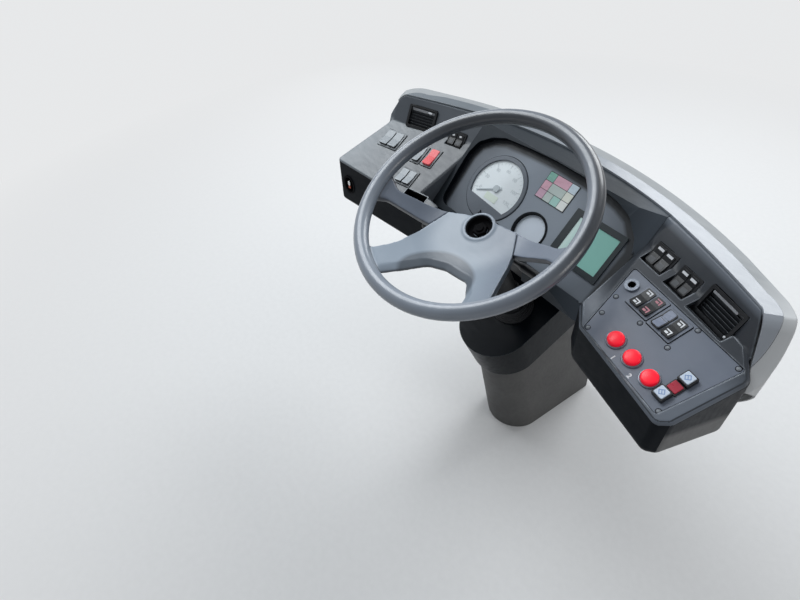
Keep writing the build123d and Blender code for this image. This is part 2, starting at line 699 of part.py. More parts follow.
def pedestal_section(plane, half, front, back, corner):
    centre = front + half
    pts = [(-half, centre), (0, front), (half, centre)]
    edges = ThreePointArc(*pts).edges()
    q = corner * 0.2929
    edges += Line((half, centre), (half, back - corner)).edges()
    edges += ThreePointArc((half, back - corner), (half - q, back - q), (half - corner, back)).edges()
    edges += Line((half - corner, back), (-half + corner, back)).edges()
    edges += ThreePointArc((-half + corner, back), (-half + q, back - q), (-half, back - corner)).edges()
    edges += Line((-half, back - corner), (-half, centre)).edges()
    return plane * make_face(edges)


def pedestal():
    solids = []
    for inset in (0.0, WALL):
        low = pedestal_section(Plane.XY.offset(-inset), 76 - inset, -204 + inset, 100 - inset, 16 - inset)
        top = pedestal_section(axis_plane(-440 - inset), 66 - inset, -118 + inset, 262 - inset, 16 - inset)
        solids.append(loft([low, top], ruled=True))
    body = solids[0] - solids[1]
    body -= disc(axis_plane(-460), 0, 0, JACKET_D + 34, 60)
    return body - Pos(0, POST_Y, 450) * Box(60 + 2 * FIT, 40 + 2 * FIT, 400)


def tilt_head():
    out = ring(axis_plane(PIVOT_S), 0, 0, JACKET_D, TUBE_D + 0.8, JACKET_TOP - PIVOT_S)
    boss = Pos(*PIVOT) * Rot(0, 90, 0) * Cylinder(26, 2 * CHEEK_X - 1)
    out = out - disc(axis_plane(PIVOT_S - 50), 0, 0, 100, 50) + boss
    out -= disc(axis_plane(PIVOT_S + 40), 0, 0, TUBE_D + 0.8, 200)
    return out - Pos(*PIVOT) * Rot(0, 90, 0) * Cylinder(PIN_D / 2 + 0.3, 200)


def column_cup():
    solids = []
    for inset in (0.0, WALL):
        half = CUP_HALF - inset
        centre = CUP_FRONT + CUP_HALF
        back = CUP_BACK + 2 * inset
        edges = ThreePointArc((-half, centre), (0, CUP_FRONT + inset), (half, centre)).edges()
        edges += Polyline((half, centre), (half, back), (-half, back), (-half, centre)).edges()
        face = axis_plane(CUP_BASE - inset) * make_face(edges)
        solids.append(extrude(face, CUP_TOP - CUP_BASE, dir=axis_plane(0).z_dir))
    return solids[0] - solids[1] - disc(axis_plane(CUP_TOP - 20), 0, 0, JACKET_D + 2 * FIT, 60)


def cup_collar():
    return ring(axis_plane(CUP_TOP + FIT), 0, 0, 94, JACKET_D + 2 * FIT, 24)


# Dished wheel: top line of the spoke plate from the hub out to the rim
DISH = [(0, -61.0), (52, -61.5), (92, -57.0), (125, -43.5), (165, -20.0), (212, 3.0)]
DISH_T = 16.0
HUB_S = DISH[0][1]
BOSS_T = 11.0
SWITCH_TOP = HUB_S - DISH_T - BOSS_T - MOVE_GAP
TUBE_BASE = -405.0
SHAFT_BASE = -385.0


def inner_column():
    tube = ring(axis_plane(TUBE_BASE), 0, 0, TUBE_D, SHAFT_D + 2 * MOVE_GAP, SWITCH_TOP - 6 - TUBE_BASE)
    for s in (SWITCH_TOP - 26, TUBE_BASE + 30):
        tube += ring(axis_plane(s), 0, 0, TUBE_D - 4, SHAFT_D + FIT, 18)
    return tube


def switch_housing():
    body = disc(axis_plane(SWITCH_TOP - 38), 0, 0, 76, 38)
    return body - disc(axis_plane(SWITCH_TOP - 60), 0, 0, TUBE_D + 2 * FIT, 54) - disc(
        axis_plane(SWITCH_TOP - 60), 0, 0, SHAFT_D + 2 * MOVE_GAP, 90
    )


def stalk(angle):
    a = math.radians(angle)
    base = axis_plane(SWITCH_TOP - 19)
    origin = base.location * Pos(36 * math.cos(a), 36 * math.sin(a), 0) * Rot(0, 0, angle) * Rot(0, 90, 0)
    out = origin * Pos(0, 0, 30) * Cylinder(4.5, 60)
    out += origin * Pos(0, 0, 56) * Cone(4.5, 8, 12)
    out += origin * Pos(0, 0, 84) * Cylinder(8, 44) + origin * Pos(0, 0, 106) * Sphere(8)
    hole = axis_plane(SWITCH_TOP - 60)
    return out - disc(hole, 0, 0, 76 + 2 * FIT, 90)


# Steering wheel, shown turned as parked
RIM_R = (WHEEL_D - RIM_TUBE) / 2

# Plan outlines in the wheel plane: across, up, corner rounding
HUB_PLAN = [
    (-75, -12, 4), (-81, -56, 4), (-79, -135, 60), (-100, -190, 12), (60, -216, 30), (175, -122, 12),
    (128, -52, 90), (100, -8, 5), (68, 32, 5), (20, 25, 60), (-40, 6, 60),
]
WINDOW_PLAN = [
    (-44, -214, 5), (-22, -157, 14), (-10, -119, 22), (20, -103, 25), (78, -97, 25), (116, -124, 22),
    (140, -172, 5), (60, -222, 20),
]
LEFT_ARM_PLAN = [
    (-60, -5, 3), (-166, -53, 22), (-208, -36, 3), (-209, -70, 3), (-190, -108, 3), (-167, -84, 18), (-62, -50, 3),
]
RIGHT_ARM_PLAN = [(60, 32, 3), (172, 34, 26), (206, 58, 3), (212, 24, 3), (208, 4, 3), (172, 8, 26), (80, -10, 3)]
ARM_DROP = 1.5


def rim_torus(extra):
    return axis_plane(0).location * Torus(RIM_R, RIM_TUBE / 2 + extra)


def dish(drop):
    top = [(r, s - drop) for r, s in DISH]
    low = [(r, s - DISH_T) for r, s in top]
    edges = Line(top[0], top[1]).edges() + ThreePointArc(*top[1:4]).edges() + ThreePointArc(*top[3:6]).edges()
    edges += Line(top[5], low[5]).edges() + ThreePointArc(*low[5:2:-1]).edges()
    edges += ThreePointArc(*low[3:0:-1]).edges() + Polyline(low[1], low[0], top[0]).edges()
    return revolve(Plane.XZ * make_face(edges), Axis.Z, 360)


def dished(corners, drop):
    low = HUB_S - 2 * DISH_T
    blank = Pos(0, 0, low / 2) * Cylinder(WHEEL_D, 4 * DISH_T - low)
    return dish(drop) - (blank - prism(rounded(corners), low - 2 * DISH_T, WHEEL_D))


def dish_line(r):
    for (r0, s0), (r1, s1) in zip(DISH, DISH[1:]):
        if r0 <= r <= r1:
            return s0 + (s1 - s0) * (r - r0) / (r1 - r0)
    return DISH[-1][1]


def hub_plate():
    out = dished(HUB_PLAN, 0)
    window = rounded(WINDOW_PLAN)
    out -= prism(window, HUB_S - 2 * DISH_T, WHEEL_D)
    line = window.wires()[0]

    def upper(edge):
        marks = [edge @ t for t in (0.1, 0.5, 0.9)]
        away = [line.distance_to(Vertex(m.X, m.Y, 0)) for m in marks]
        drops = [abs(m.Z - dish_line(math.hypot(m.X, m.Y))) for m in marks]
        return max(away) < 0.05 and max(drops) < DISH_T / 2

    out = chamfer(out.edges().filter_by(upper), 8, 14)
    out += Pos(0, 0, HUB_S - DISH_T - BOSS_T / 2 + 0.5) * Cylinder(30, BOSS_T + 1)
    out += Pos(0, 0, HUB_S - 1) * (Cylinder(HUB_HOLE_D / 2 + 6, 5) - Cylinder(HUB_HOLE_D / 2, 20))
    out -= Pos(0, 0, HUB_S + 6) * Cylinder(HUB_HOLE_D / 2, 40)
    return axis_plane(0).location * out - rim_torus(FIT)


def wheel_arm(corners):
    out = dished(corners, ARM_DROP)
    near = offset(rounded(HUB_PLAN), FIT)
    out -= prism(near, HUB_S - 2 * DISH_T, WHEEL_D)
    return axis_plane(0).location * out - rim_torus(FIT)


PARTS = {}

left = wing(-1, LEFT_PLAN, LEFT_BACK, LEDGE, lowered(LEDGE, WALL), LEFT_BASE, 12)
left -= plate(LEDGE.offset(-30), 202, -147, 58, 22, 60) + toggle_hole(0)
right = wing(1, RIGHT_PLAN, RIGHT_BACK, POD_EDGE, lowered(POD, WALL), RIGHT_BASE, 22)
right -= pod_recess()
for name, panel, u, v, w, h, keys, turn in ROCKERS:
    cut = pocket(PANELS[panel], u, v, w, h, turn)
    if panel in ON_LEFT:
        left -= cut
    else:
        right -= cut
    PARTS[name] = rocker_set(PANELS[panel], u, v, w, h, keys, turn)
left -= vent_pocket(*VENTS[0][1:4])
right -= vent_pocket(*VENTS[1][1:4])
for name, plane, u, v, bar_u, bar_w in VENTS:
    PARTS[name] = vent(plane, u, v, bar_u, bar_w)
for name, u, v in PUSH:
    right -= disc(POD_TOP.offset(-10), u, v, PUSH_D - 8 + 2 * FIT, 20)
    PARTS[name] = push_button(u, v)
for name, u, v, height in KEYS:
    right -= plate(POD_TOP.offset(-10), u, v, KEY_W - 6 + 2 * FIT, KEY_W - 6 + 2 * FIT, 20)
    PARTS[name] = key_light(u, v, height)
right -= disc(POD_TOP.offset(-10), SOCKET[0], SOCKET[1], SOCKET[2] - 6 + 2 * FIT, 20)
PARTS["pod_socket"] = socket()
PARTS["pod_plate"] = pod_plate()
PARTS["front_toggle"] = front_toggle()
shell = outer_shell()
PARTS["dash_left_wing"] = left
PARTS["dash_right_pod"] = right
hood_body, notch_tool = hood()
PARTS["dash_hood"] = hood_body
PARTS["outer_shell"] = shell
PARTS["top_strip"] = top_strip()
PARTS["cluster_panel"] = cluster_panel(notch_tool)
PARTS["speedometer"] = speedometer()
PARTS["speedo_face"] = speedo_face()
PARTS["speedo_needle"] = speedo_needle()
PARTS["small_gauge"] = small_gauge()
PARTS["lamp_matrix"] = lamp_matrix()
PARTS["display_frame"] = display_frame()
PARTS["display_screen"] = plate(CLUSTER.offset(0.5 + FIT / 4), LCD[0], LCD[1], LCD[2] - 0.6, LCD[3] - 0.6, 1.2)
PARTS["column_foot"] = column_foot()
PARTS["cross_beam"] = cross_beam()
PARTS["carrier_post"] = carrier_post()
PARTS["tilt_pin"] = Pos(*PIVOT) * Rot(0, 90, 0) * Cylinder(PIN_D / 2, 2 * CHEEK_X + 20)
PARTS["pedestal"] = pedestal()
PARTS["tilt_head"] = tilt_head()
PARTS["column_cup"] = column_cup()
PARTS["cup_collar"] = cup_collar()
PARTS["inner_column"] = inner_column()
PARTS["switch_housing"] = switch_housing()
PARTS["stalk_right"] = stalk(3)
PARTS["stalk_left"] = stalk(200)
PARTS["steering_shaft"] = disc(axis_plane(SHAFT_BASE), 0, 0, SHAFT_D, HUB_S - DISH_T - BOSS_T - 0.3 - SHAFT_BASE)
PARTS["wheel_rim"] = rim_torus(0)
PARTS["hub_plate"] = hub_plate()
PARTS["wheel_arm_left"] = wheel_arm(LEFT_ARM_PLAN)
PARTS["wheel_arm_right"] = wheel_arm(RIGHT_ARM_PLAN)

for name, shape in PARTS.items():
    export_step(shape, "parts/" + name + ".step")
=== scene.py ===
# %% [markdown]
# # The driver's dashboard of a city bus
# This lesson dresses a dashboard with its steering column and steering wheel. The solid model comes
# first, as a fixed frame, and every piece made here rides on one of its bodies, so that the wheel
# still turns and the column still tilts. Each step says what the real piece is, how it could be
# made, and why one way was chosen.

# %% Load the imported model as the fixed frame
import json
import math

import bmesh
import bpy
from mathutils import Matrix, Vector


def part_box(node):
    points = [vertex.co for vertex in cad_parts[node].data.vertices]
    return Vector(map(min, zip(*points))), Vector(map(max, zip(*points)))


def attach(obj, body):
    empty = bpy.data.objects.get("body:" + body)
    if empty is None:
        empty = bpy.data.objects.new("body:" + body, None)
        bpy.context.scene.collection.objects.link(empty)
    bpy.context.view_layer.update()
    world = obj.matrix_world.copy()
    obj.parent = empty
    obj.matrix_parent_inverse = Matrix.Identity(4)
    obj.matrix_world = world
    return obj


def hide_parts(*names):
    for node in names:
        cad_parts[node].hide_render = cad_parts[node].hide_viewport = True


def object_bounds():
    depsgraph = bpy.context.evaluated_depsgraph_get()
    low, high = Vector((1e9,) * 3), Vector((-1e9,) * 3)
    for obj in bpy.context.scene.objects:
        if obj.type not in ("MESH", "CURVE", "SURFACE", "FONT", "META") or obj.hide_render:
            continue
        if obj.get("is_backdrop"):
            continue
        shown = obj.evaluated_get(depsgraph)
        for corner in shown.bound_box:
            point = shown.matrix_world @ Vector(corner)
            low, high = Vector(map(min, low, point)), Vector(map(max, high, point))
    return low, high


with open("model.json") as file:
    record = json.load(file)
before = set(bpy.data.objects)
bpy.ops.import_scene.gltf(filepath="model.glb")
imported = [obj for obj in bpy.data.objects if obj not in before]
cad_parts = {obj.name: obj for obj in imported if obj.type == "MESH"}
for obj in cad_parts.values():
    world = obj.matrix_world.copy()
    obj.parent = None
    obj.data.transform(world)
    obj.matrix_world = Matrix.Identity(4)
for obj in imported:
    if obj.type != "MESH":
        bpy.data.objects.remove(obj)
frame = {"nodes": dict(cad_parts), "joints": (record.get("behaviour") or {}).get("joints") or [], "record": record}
cad_low, cad_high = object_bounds()
nodes = frame["nodes"]
print("CAD box", [round(v, 3) for v in cad_low], [round(v, 3) for v in cad_high])

# %% [markdown]
# ## Places come from the frame
# The wheel's centre is the middle of the rim's box, and the column's direction is the axis of the
# steering joint. The flat panels of the dash are given by a point measured from the wheel centre,
# a turn about the upright and a tilt. Every piece is drawn in millimetres on such a plane and then
# put in place, so its own object stays at the origin.

# %% Planes to draw on
MM = 0.001
rim_low, rim_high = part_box("wheel_rim")
WHEEL = (rim_low + rim_high) / 2
STEER = next(j for j in frame["joints"] if j["name"] == "steering")
AXIS = Vector(STEER["axis"])


def plane_at(origin, x_dir, z_dir):
    z = Vector(z_dir).normalized()
    x = Vector(x_dir).normalized()
    turn = Matrix((x, z.cross(x), z)).transposed().to_4x4()
    return Matrix.Translation(origin) @ turn


def panel(offset, turn, tilt):
    a, b = math.radians(turn), math.radians(tilt)
    z_dir = (math.sin(a) * math.sin(b), -math.cos(a) * math.sin(b), math.cos(b))
    return plane_at(WHEEL + Vector(offset) * MM, (math.cos(a), math.sin(a), 0), z_dir)


def raised(plane, height):
    return plane @ Matrix.Translation((0, 0, height * MM))


def spot(plane, u, v, height=0.0, turn=0.0):
    place = Matrix.Translation(Vector((u, v, height)) * MM)
    return plane @ place @ Matrix.Rotation(math.radians(turn), 4, "Z")


WHEEL_PLANE = plane_at(WHEEL, (1, 0, 0), AXIS)
LEDGE = panel((-455, 127, -64), 13.5, 22)
POD = panel((259, 34, -111), -11.1, 21.1)
POD_TOP = raised(POD, 2.0)
PANEL_PROUD = 1.0
#  name, place from the wheel centre, turn, tilt
RISER_PLACES = [
    ("riser_rockers_left", (-273.1, 192.5, -54.5), 15.3, 54.5),
    ("riser_rockers_a", (261.9, 200.1, -45.8), -13.2, 52.0),
    ("riser_rockers_b", (319.9, 183.5, -48.3), -15.1, 56.7),
    ("vent_left", (-376.9, 171.4, -38.5), 18.8, 62.0),
    ("vent_right", (392.3, 164.2, -44.1), -18.4, 63.9),
]
RISER = {name: raised(panel(place, turn, tilt), PANEL_PROUD) for name, place, turn, tilt in RISER_PLACES}
CLUSTER_TILT = 45.6
CLUSTER_DEPTH = 180.0
tilt = math.radians(CLUSTER_TILT)
CLUSTER = panel((0, CLUSTER_DEPTH * math.sin(tilt), -CLUSTER_DEPTH * math.cos(tilt)), 0, CLUSTER_TILT)
print("wheel centre", [round(v, 4) for v in WHEEL], "axis", [round(v, 3) for v in AXIS])

# %% [markdown]
# ## The camera of the photograph
# The picture was taken from the right of the wheel and behind it, with a wide lens, looking down and
# to the left. The place and the three turns below were found by matching the rim, the hub's hole
# and the corners of the panels with the picture.

# %% Camera
CAMERA_AT = (0.60717746, -0.89803, 1.36289)
AZIMUTH = 57.23
ELEVATION = 44.65
ROLL = -2.66
LENS = 25.0
SENSOR = 36.0


def camera_turn():
    a, e, r = (math.radians(v) for v in (AZIMUTH, ELEVATION, ROLL))
    ahead = Vector((-math.sin(a) * math.cos(e), math.cos(a) * math.cos(e), -math.sin(e)))
    level = ahead.cross(Vector((0, 0, 1))).normalized()
    over = level.cross(ahead)
    right = level * math.cos(r) + over * math.sin(r)
    up = over * math.cos(r) - level * math.sin(r)
    return Matrix((right, up, -ahead)).transposed().to_4x4()


lens = bpy.data.cameras.new("view_over_the_wheel")
lens.lens = LENS
lens.sensor_width = SENSOR
camera = bpy.data.objects.new("camera", lens)
camera.matrix_world = Matrix.Translation(CAMERA_AT) @ camera_turn()
bpy.context.scene.collection.objects.link(camera)
bpy.context.scene.camera = camera
bpy.context.scene.view_settings.view_transform = "Standard"
print("camera", CAMERA_AT, "lens", LENS)

# %% [markdown]
# ## Daylight without a sky
# The cab is lit by a bright sky through the driver's window and the windscreen, so faces that look
# up and to the left shine and faces that look at the driver stay dark. A sky texture would tint the
# part, so four soft lamps do the same: one high at the driver's side, one over the windscreen, one low
# in the side window, and a weak one at the door. The world only lifts the shadows, and it is pale
# where the camera looks straight at it.

# %% Lamps and world
MIDDLE = Vector((0.0, -0.15, 0.6))
WORLD_LIGHT = 0.44
WORLD_LIGHT_COLOUR = (0.92, 0.96, 1.0, 1)
WORLD_SEEN = 0.86
WORLD_SEEN_COLOUR = (0.93, 0.94, 0.95, 1)
#  name, direction from the middle, distance, size, watts, colour
LAMPS = [
    ("driver_side_light", (-0.60, -0.12, 0.78), 2.7, 1.9, 50, (0.93, 0.97, 1.0)),
    ("windscreen_light", (-0.15, 0.85, 0.60), 3.0, 1.9, 54, (0.95, 0.98, 1.0)),
    ("side_window_light", (-0.95, 0.34, 0.08), 2.6, 1.5, 8, (0.95, 0.98, 1.0)),
    ("door_light", (1.0, 0.30, 0.35), 2.8, 1.2, 12, (1.0, 0.98, 0.96)),
]
for name, direction, away, size, power, colour in LAMPS:
    data = bpy.data.lights.new(name, "AREA")
    data.shape = "DISK"
    data.size = size
    data.energy = power
    data.color = colour
    place = MIDDLE + Vector(direction).normalized() * away
    turn = (place - MIDDLE).to_track_quat("Z", "Y").to_matrix().to_4x4()
    lamp = bpy.data.objects.new(name, data)
    lamp.matrix_world = Matrix.Translation(place) @ turn
    bpy.context.scene.collection.objects.link(lamp)

world = bpy.data.worlds.new("pale_room")
bpy.context.scene.world = world
world.use_nodes = True
tree = world.node_tree
background = tree.nodes["Background"]
background.inputs["Strength"].default_value = WORLD_LIGHT
background.inputs["Color"].default_value = WORLD_LIGHT_COLOUR
seen = tree.nodes.new("ShaderNodeBackground")
seen.inputs["Color"].default_value = WORLD_SEEN_COLOUR
seen.inputs["Strength"].default_value = WORLD_SEEN
choose = tree.nodes.new("ShaderNodeMixShader")
rays = tree.nodes.new("ShaderNodeLightPath")
tree.links.new(rays.outputs["Is Camera Ray"], choose.inputs["Fac"])
tree.links.new(background.outputs["Background"], choose.inputs[1])
tree.links.new(seen.outputs["Background"], choose.inputs[2])
tree.links.new(choose.outputs["Shader"], tree.nodes["World Output"].inputs["Surface"])
print(len(LAMPS), "lamps")

# %% [markdown]
# ## Finishes
# Almost all of a cab is moulded plastic, so one recipe makes most finishes: a base colour with
# large faint patches, a fine grain as bump, small scratches in the gloss, and lighter edges, which
# are rubbed wear and, on some finishes, a painted highlight. The Bevel node finds those edges, since
# it turns the normal near an edge, and it also rounds the edge in the light. First come short
# helpers, which join the shader's nodes.

# %% Node helpers


def wire(tree, source, target):
    tree.links.new(source, target)


def node(tree, kind, **values):
    made = tree.nodes.new("ShaderNode" + kind)
    for name, value in values.items():
        if name in made.inputs:
            made.inputs[name].default_value = value
        else:
            setattr(made, name, value)
    return made


def noise(tree, coords, scale, detail=3.0, stretch=None):
    source = coords
    if stretch:
        mapping = node(tree, "Mapping", Scale=stretch)
        wire(tree, coords, mapping.inputs["Vector"])
        source = mapping.outputs["Vector"]
    one = node(tree, "TexNoise", Scale=scale, Detail=detail)
    wire(tree, source, one.inputs["Vector"])
    return one.outputs["Fac"]


def remap(tree, value, low, high, to_low, to_high):
    ranges = {"From Min": low, "From Max": high, "To Min": to_low, "To Max": to_high}
    one = node(tree, "MapRange", **ranges)
    wire(tree, value, one.inputs["Value"])
    return one.outputs["Result"]


def blend_colour(tree, factor, first, second):
    one = tree.nodes.new("ShaderNodeMix")
    one.data_type = "RGBA"
    wire(tree, factor, one.inputs["Factor"])
    for socket, value in ((one.inputs[6], first), (one.inputs[7], second)):
        if isinstance(value, tuple):
            socket.default_value = (*value, 1)
        else:
            wire(tree, value, socket)
    return one.outputs[2]


def connect(tree, made, values):
    """Puts sockets or plain values on a node's first inputs."""
    for socket, value in zip(made.inputs, values):
        if isinstance(value, bpy.types.NodeSocket):
            wire(tree, value, socket)
        elif value is not None:
            socket.default_value = value


def maths(tree, operation, first, second=None):
    one = node(tree, "Math", operation=operation)
    connect(tree, one, (first, second))
    return one.outputs["Value"]


def vectors(tree, operation, first, second=None, third=None):
    """The result of a vector operation, which is a number for a product, length or distance."""
    one = node(tree, "VectorMath", operation=operation)
    connect(tree, one, (first, second, third))
    return one.outputs["Value" if operation in ("DOT_PRODUCT", "LENGTH", "DISTANCE") else "Vector"]


def place_in(tree):
    return tree.nodes.new("ShaderNodeTexCoord").outputs["Object"]


def normal_in(tree):
    return tree.nodes.new("ShaderNodeNewGeometry").outputs["Normal"]


# %% One recipe for moulded and painted surfaces
PATCH_SCALE = 9.0
WEAR_SCALE = 60.0
DUST_SCALE = 35.0
STREAK_SCALE = 40.0
STREAK_STRETCH = (1.0, 4.0, 2.0)
AT_EDGE = (0.99, 0.86)
LOOKS_UP = (0.3, 1.0)
DUST_COLOUR = (0.42, 0.42, 0.40)


def finish(name, colour, rough=0.5, grain=900.0, depth=0.03, mottle=0.06, rub_and_highlight_colour=None, rub_and_highlight_share=0.6,
           edge=1.2, metal=0.0, specular=0.5, coat=0.0, dust=0.0, scratch=0.06, fade=None):
    """fade: direction, where it starts, where it ends, colour at the end."""
    made = bpy.data.materials.new(name)
    made.use_nodes = True
    tree = made.node_tree
    shader = tree.nodes["Principled BSDF"]
    coords = place_in(tree)
    base = tuple(colour)
    if fade:
        direction, start, end, far_colour = fade
        share = remap(tree, vectors(tree, "DOT_PRODUCT", coords, direction), start, end, 0, 1)
        base = blend_colour(tree, share, base, far_colour)
    patches = remap(tree, noise(tree, coords, PATCH_SCALE, 4.0), 0.3, 0.7, 1 - mottle, 1 + mottle)
    base = vectors(tree, "SCALE", base)
    wire(tree, patches, base.node.inputs["Scale"])
    specks = remap(tree, noise(tree, coords, grain, 2.0), 0.35, 0.65, -0.5, 0.5)
    bump = node(tree, "Bump", Strength=0.9, Distance=depth * MM)
    wire(tree, specks, bump.inputs["Height"])
    if edge:
        bevel = node(tree, "Bevel", Radius=edge * MM, samples=4)
        wire(tree, bevel.outputs["Normal"], bump.inputs["Normal"])
    # Lighter edges: rubbed wear, and on some finishes a painted highlight.
    if rub_and_highlight_colour:
        flat = vectors(tree, "DOT_PRODUCT", bevel.outputs["Normal"], normal_in(tree))
        rub_and_highlight_mask = remap(tree, flat, *AT_EDGE, 0, rub_and_highlight_share)
        broken = remap(tree, noise(tree, coords, WEAR_SCALE, 6.0), 0.35, 0.6, 0.35, 1)
        base = blend_colour(tree, maths(tree, "MULTIPLY", rub_and_highlight_mask, broken), base, rub_and_highlight_colour)
    if dust:
        parts = tree.nodes.new("ShaderNodeSeparateXYZ")
        wire(tree, normal_in(tree), parts.inputs["Vector"])
        upward = remap(tree, parts.outputs["Z"], *LOOKS_UP, 0, dust)
        cloudy = remap(tree, noise(tree, coords, DUST_SCALE, 8.0), 0.4, 0.7, 0.2, 1)
        base = blend_colour(tree, maths(tree, "MULTIPLY", upward, cloudy), base, DUST_COLOUR)
    wire(tree, base, shader.inputs["Base Color"])
    streaks = noise(tree, coords, STREAK_SCALE, 6.0, STREAK_STRETCH)
    gloss = remap(tree, streaks, 0.3, 0.7, max(0.02, rough - scratch), min(1.0, rough + scratch))
    wire(tree, gloss, shader.inputs["Roughness"])
    wire(tree, bump.outputs["Normal"], shader.inputs["Normal"])
    shader.inputs["Metallic"].default_value = metal
    shader.inputs["Specular IOR Level"].default_value = specular
    shader.inputs["Coat Weight"].default_value = coat
    shader.inputs["Coat Roughness"].default_value = 0.12
    return made


def flat_finish(name, colour, rough, depth=0.002, **more):
    """A print or a glass: nearly no grain, and no rounded edge."""
    return finish(name, colour, rough, depth=depth, edge=0, **more)


# %% [markdown]
# ## The finishes of this dashboard
# The left ledge grows paler towards its left end, a painted sheen of the sky, and the right riser is
# dark, partly as painted shade. The fronts that look at the driver are painted near black as shade,
# and hands have polished the wheel to a pale blue-grey. So a finish may fade from one colour to
# another along a direction, as the silver strip does, which is dark at its left end. Each is written
# as it should look in plain light.

# %% Finishes of the mouldings and panels
RUBBED = (0.30, 0.33, 0.37)
# The ledge's paler left end is a painted sheen of the sky, and its wide light edges are partly a painted
# highlight.
LEFT_SHEEN_FADE = ((-1, 0, 0), 0.26, 0.47, (0.150, 0.174, 0.196))
riser_left = finish("riser_left", (0.082, 0.094, 0.110), 0.48, rub_and_highlight_colour=RUBBED, rub_and_highlight_share=0.5, dust=0.05)
# The right riser's dark base is partly painted shade, and its wide light edges are a painted highlight.
riser_right = finish("riser_right", (0.024, 0.029, 0.037), 0.46, rub_and_highlight_colour=(0.20, 0.225, 0.255), rub_and_highlight_share=0.8,
                     edge=4.0)
ledge_grey = finish("ledge_grey_painted_sheen", (0.056, 0.065, 0.077), 0.44, rub_and_highlight_colour=(0.40, 0.44, 0.47), rub_and_highlight_share=0.8,
                    edge=2.5, dust=0.06, fade=LEFT_SHEEN_FADE, specular=0.7)
# The lip grows paler towards the driver as a painted highlight, and its wide light edges are a painted highlight
# too.
POD_LIP_SHEEN_FADE = ((0, -1, 0), 0.235, 0.285, (0.105, 0.122, 0.150))
pod_lip = finish("pod_lip_grey", (0.034, 0.040, 0.050), 0.40, rub_and_highlight_colour=(0.46, 0.50, 0.55), rub_and_highlight_share=1.0,
                 specular=0.35, edge=4.0, fade=POD_LIP_SHEEN_FADE)
# The near-black fronts are painted shade on the same grey moulding, and their light edges are partly a painted
# highlight.
front_shade_black = finish("front_painted_shade", (0.003, 0.005, 0.008), 0.45, specular=0.06, rub_and_highlight_colour=(0.14, 0.15, 0.17),
                     rub_and_highlight_share=0.7, edge=3.0)
# The pod's side wall is painted dark near the lip as shade, and pale lower down as light from the door window.
pod_wall_shade_and_light = finish("pod_side_wall_painted_shade_and_light", (0.014, 0.016, 0.020), 0.50, specular=0.15, rub_and_highlight_colour=(0.12, 0.13, 0.15),
                  rub_and_highlight_share=0.5, fade=((0, 0, -1), -0.655, -0.640, (0.15, 0.15, 0.15)))
# This near-black is painted shade on faces that look down and on the gauge's recess wall, and the own black of the
# switch housing.
underside = finish("black_plastic_and_painted_shade", (0.007, 0.009, 0.012), 0.55, specular=0.10)
hood_grey = finish("hood_moulding", (0.025, 0.031, 0.038), 0.46, rub_and_highlight_colour=(0.20, 0.225, 0.255), rub_and_highlight_share=0.4,
                   specular=0.15, fade=((1, 0, 0), 0.14, 0.21, (0.060, 0.072, 0.088)))
shell_grey = finish("outer_shell_grey", (0.29, 0.304, 0.314), 0.62, rub_and_highlight_colour=(0.55, 0.56, 0.56), rub_and_highlight_share=0.5,
                    mottle=0.03, fade=((1, 0, 0), 0.40, 0.52, (0.60, 0.61, 0.62)))
STRIP_FADE = ((1, 0, 0), -0.30, 0.16, (0.285, 0.307, 0.342))
strip_silver = finish("silver_strip", (0.13, 0.15, 0.17), 0.34, depth=0.01, coat=0.2, mottle=0.05,
                      fade=STRIP_FADE, rub_and_highlight_colour=(0.62, 0.64, 0.68), rub_and_highlight_share=0.5)
cluster_grey = finish("cluster_panel_grey", (0.115, 0.134, 0.160), 0.46, grain=1300, rub_and_highlight_colour=RUBBED,
                      rub_and_highlight_share=0.2)
bezel_grey = finish("bezel_grey", (0.120, 0.140, 0.168), 0.42, grain=1300, rub_and_highlight_colour=RUBBED, rub_and_highlight_share=0.35)
plate_grey = finish("pod_plate_satin", (0.130, 0.152, 0.198), 0.36, depth=0.012, mottle=0.08, dust=0.03,
                    specular=0.6)
print("mouldings:", [made.name for made in bpy.data.materials])

# %% Finishes of switches, buttons and keys
switch_black = finish("switch_black", (0.008, 0.009, 0.011), 0.34, depth=0.01, rub_and_highlight_colour=(0.12, 0.13, 0.14),
                      rub_and_highlight_share=0.5, edge=0.5)
switch_grey = finish("switch_cap_grey", (0.27, 0.30, 0.325), 0.34, depth=0.01, rub_and_highlight_colour=(0.42, 0.45, 0.47),
                     edge=0.6)
switch_blue = finish("switch_cap_blank", (0.22, 0.25, 0.33), 0.28, depth=0.01, rub_and_highlight_colour=(0.45, 0.47, 0.5),
                     edge=0.6)
# This deep black is painted shade inside holes, wells and recesses, and the dark of the grooves.
shade_and_groove_black = finish("painted_shade_and_groove_black", (0.003, 0.003, 0.004), 0.8, specular=0.1, edge=0)
# The shroud's lighter edges are partly a painted highlight.
gloss_black = finish("black_shroud", (0.003, 0.005, 0.008), 0.34, depth=0.008, specular=0.08, edge=1.6,
                     rub_and_highlight_share=0.6, rub_and_highlight_colour=(0.20, 0.23, 0.26))
alarm_red = finish("alarm_red", (0.74, 0.050, 0.062), 0.34, depth=0.01, rub_and_highlight_colour=(0.85, 0.2, 0.2), edge=0.9)
button_red = finish("button_red", (0.90, 0.003, 0.022), 0.34, depth=0.01, mottle=0.04, edge=0.6)
key_red = finish("key_red", (0.40, 0.010, 0.035), 0.32, depth=0.01, edge=0.6)
key_pale = finish("key_pale", (0.55, 0.63, 0.74), 0.35, depth=0.01, edge=0.6)
ring_grey = finish("button_ring_grey", (0.21, 0.235, 0.28), 0.28, depth=0.01, metal=0.3, edge=0.4)
print(len(bpy.data.materials), "finishes so far")

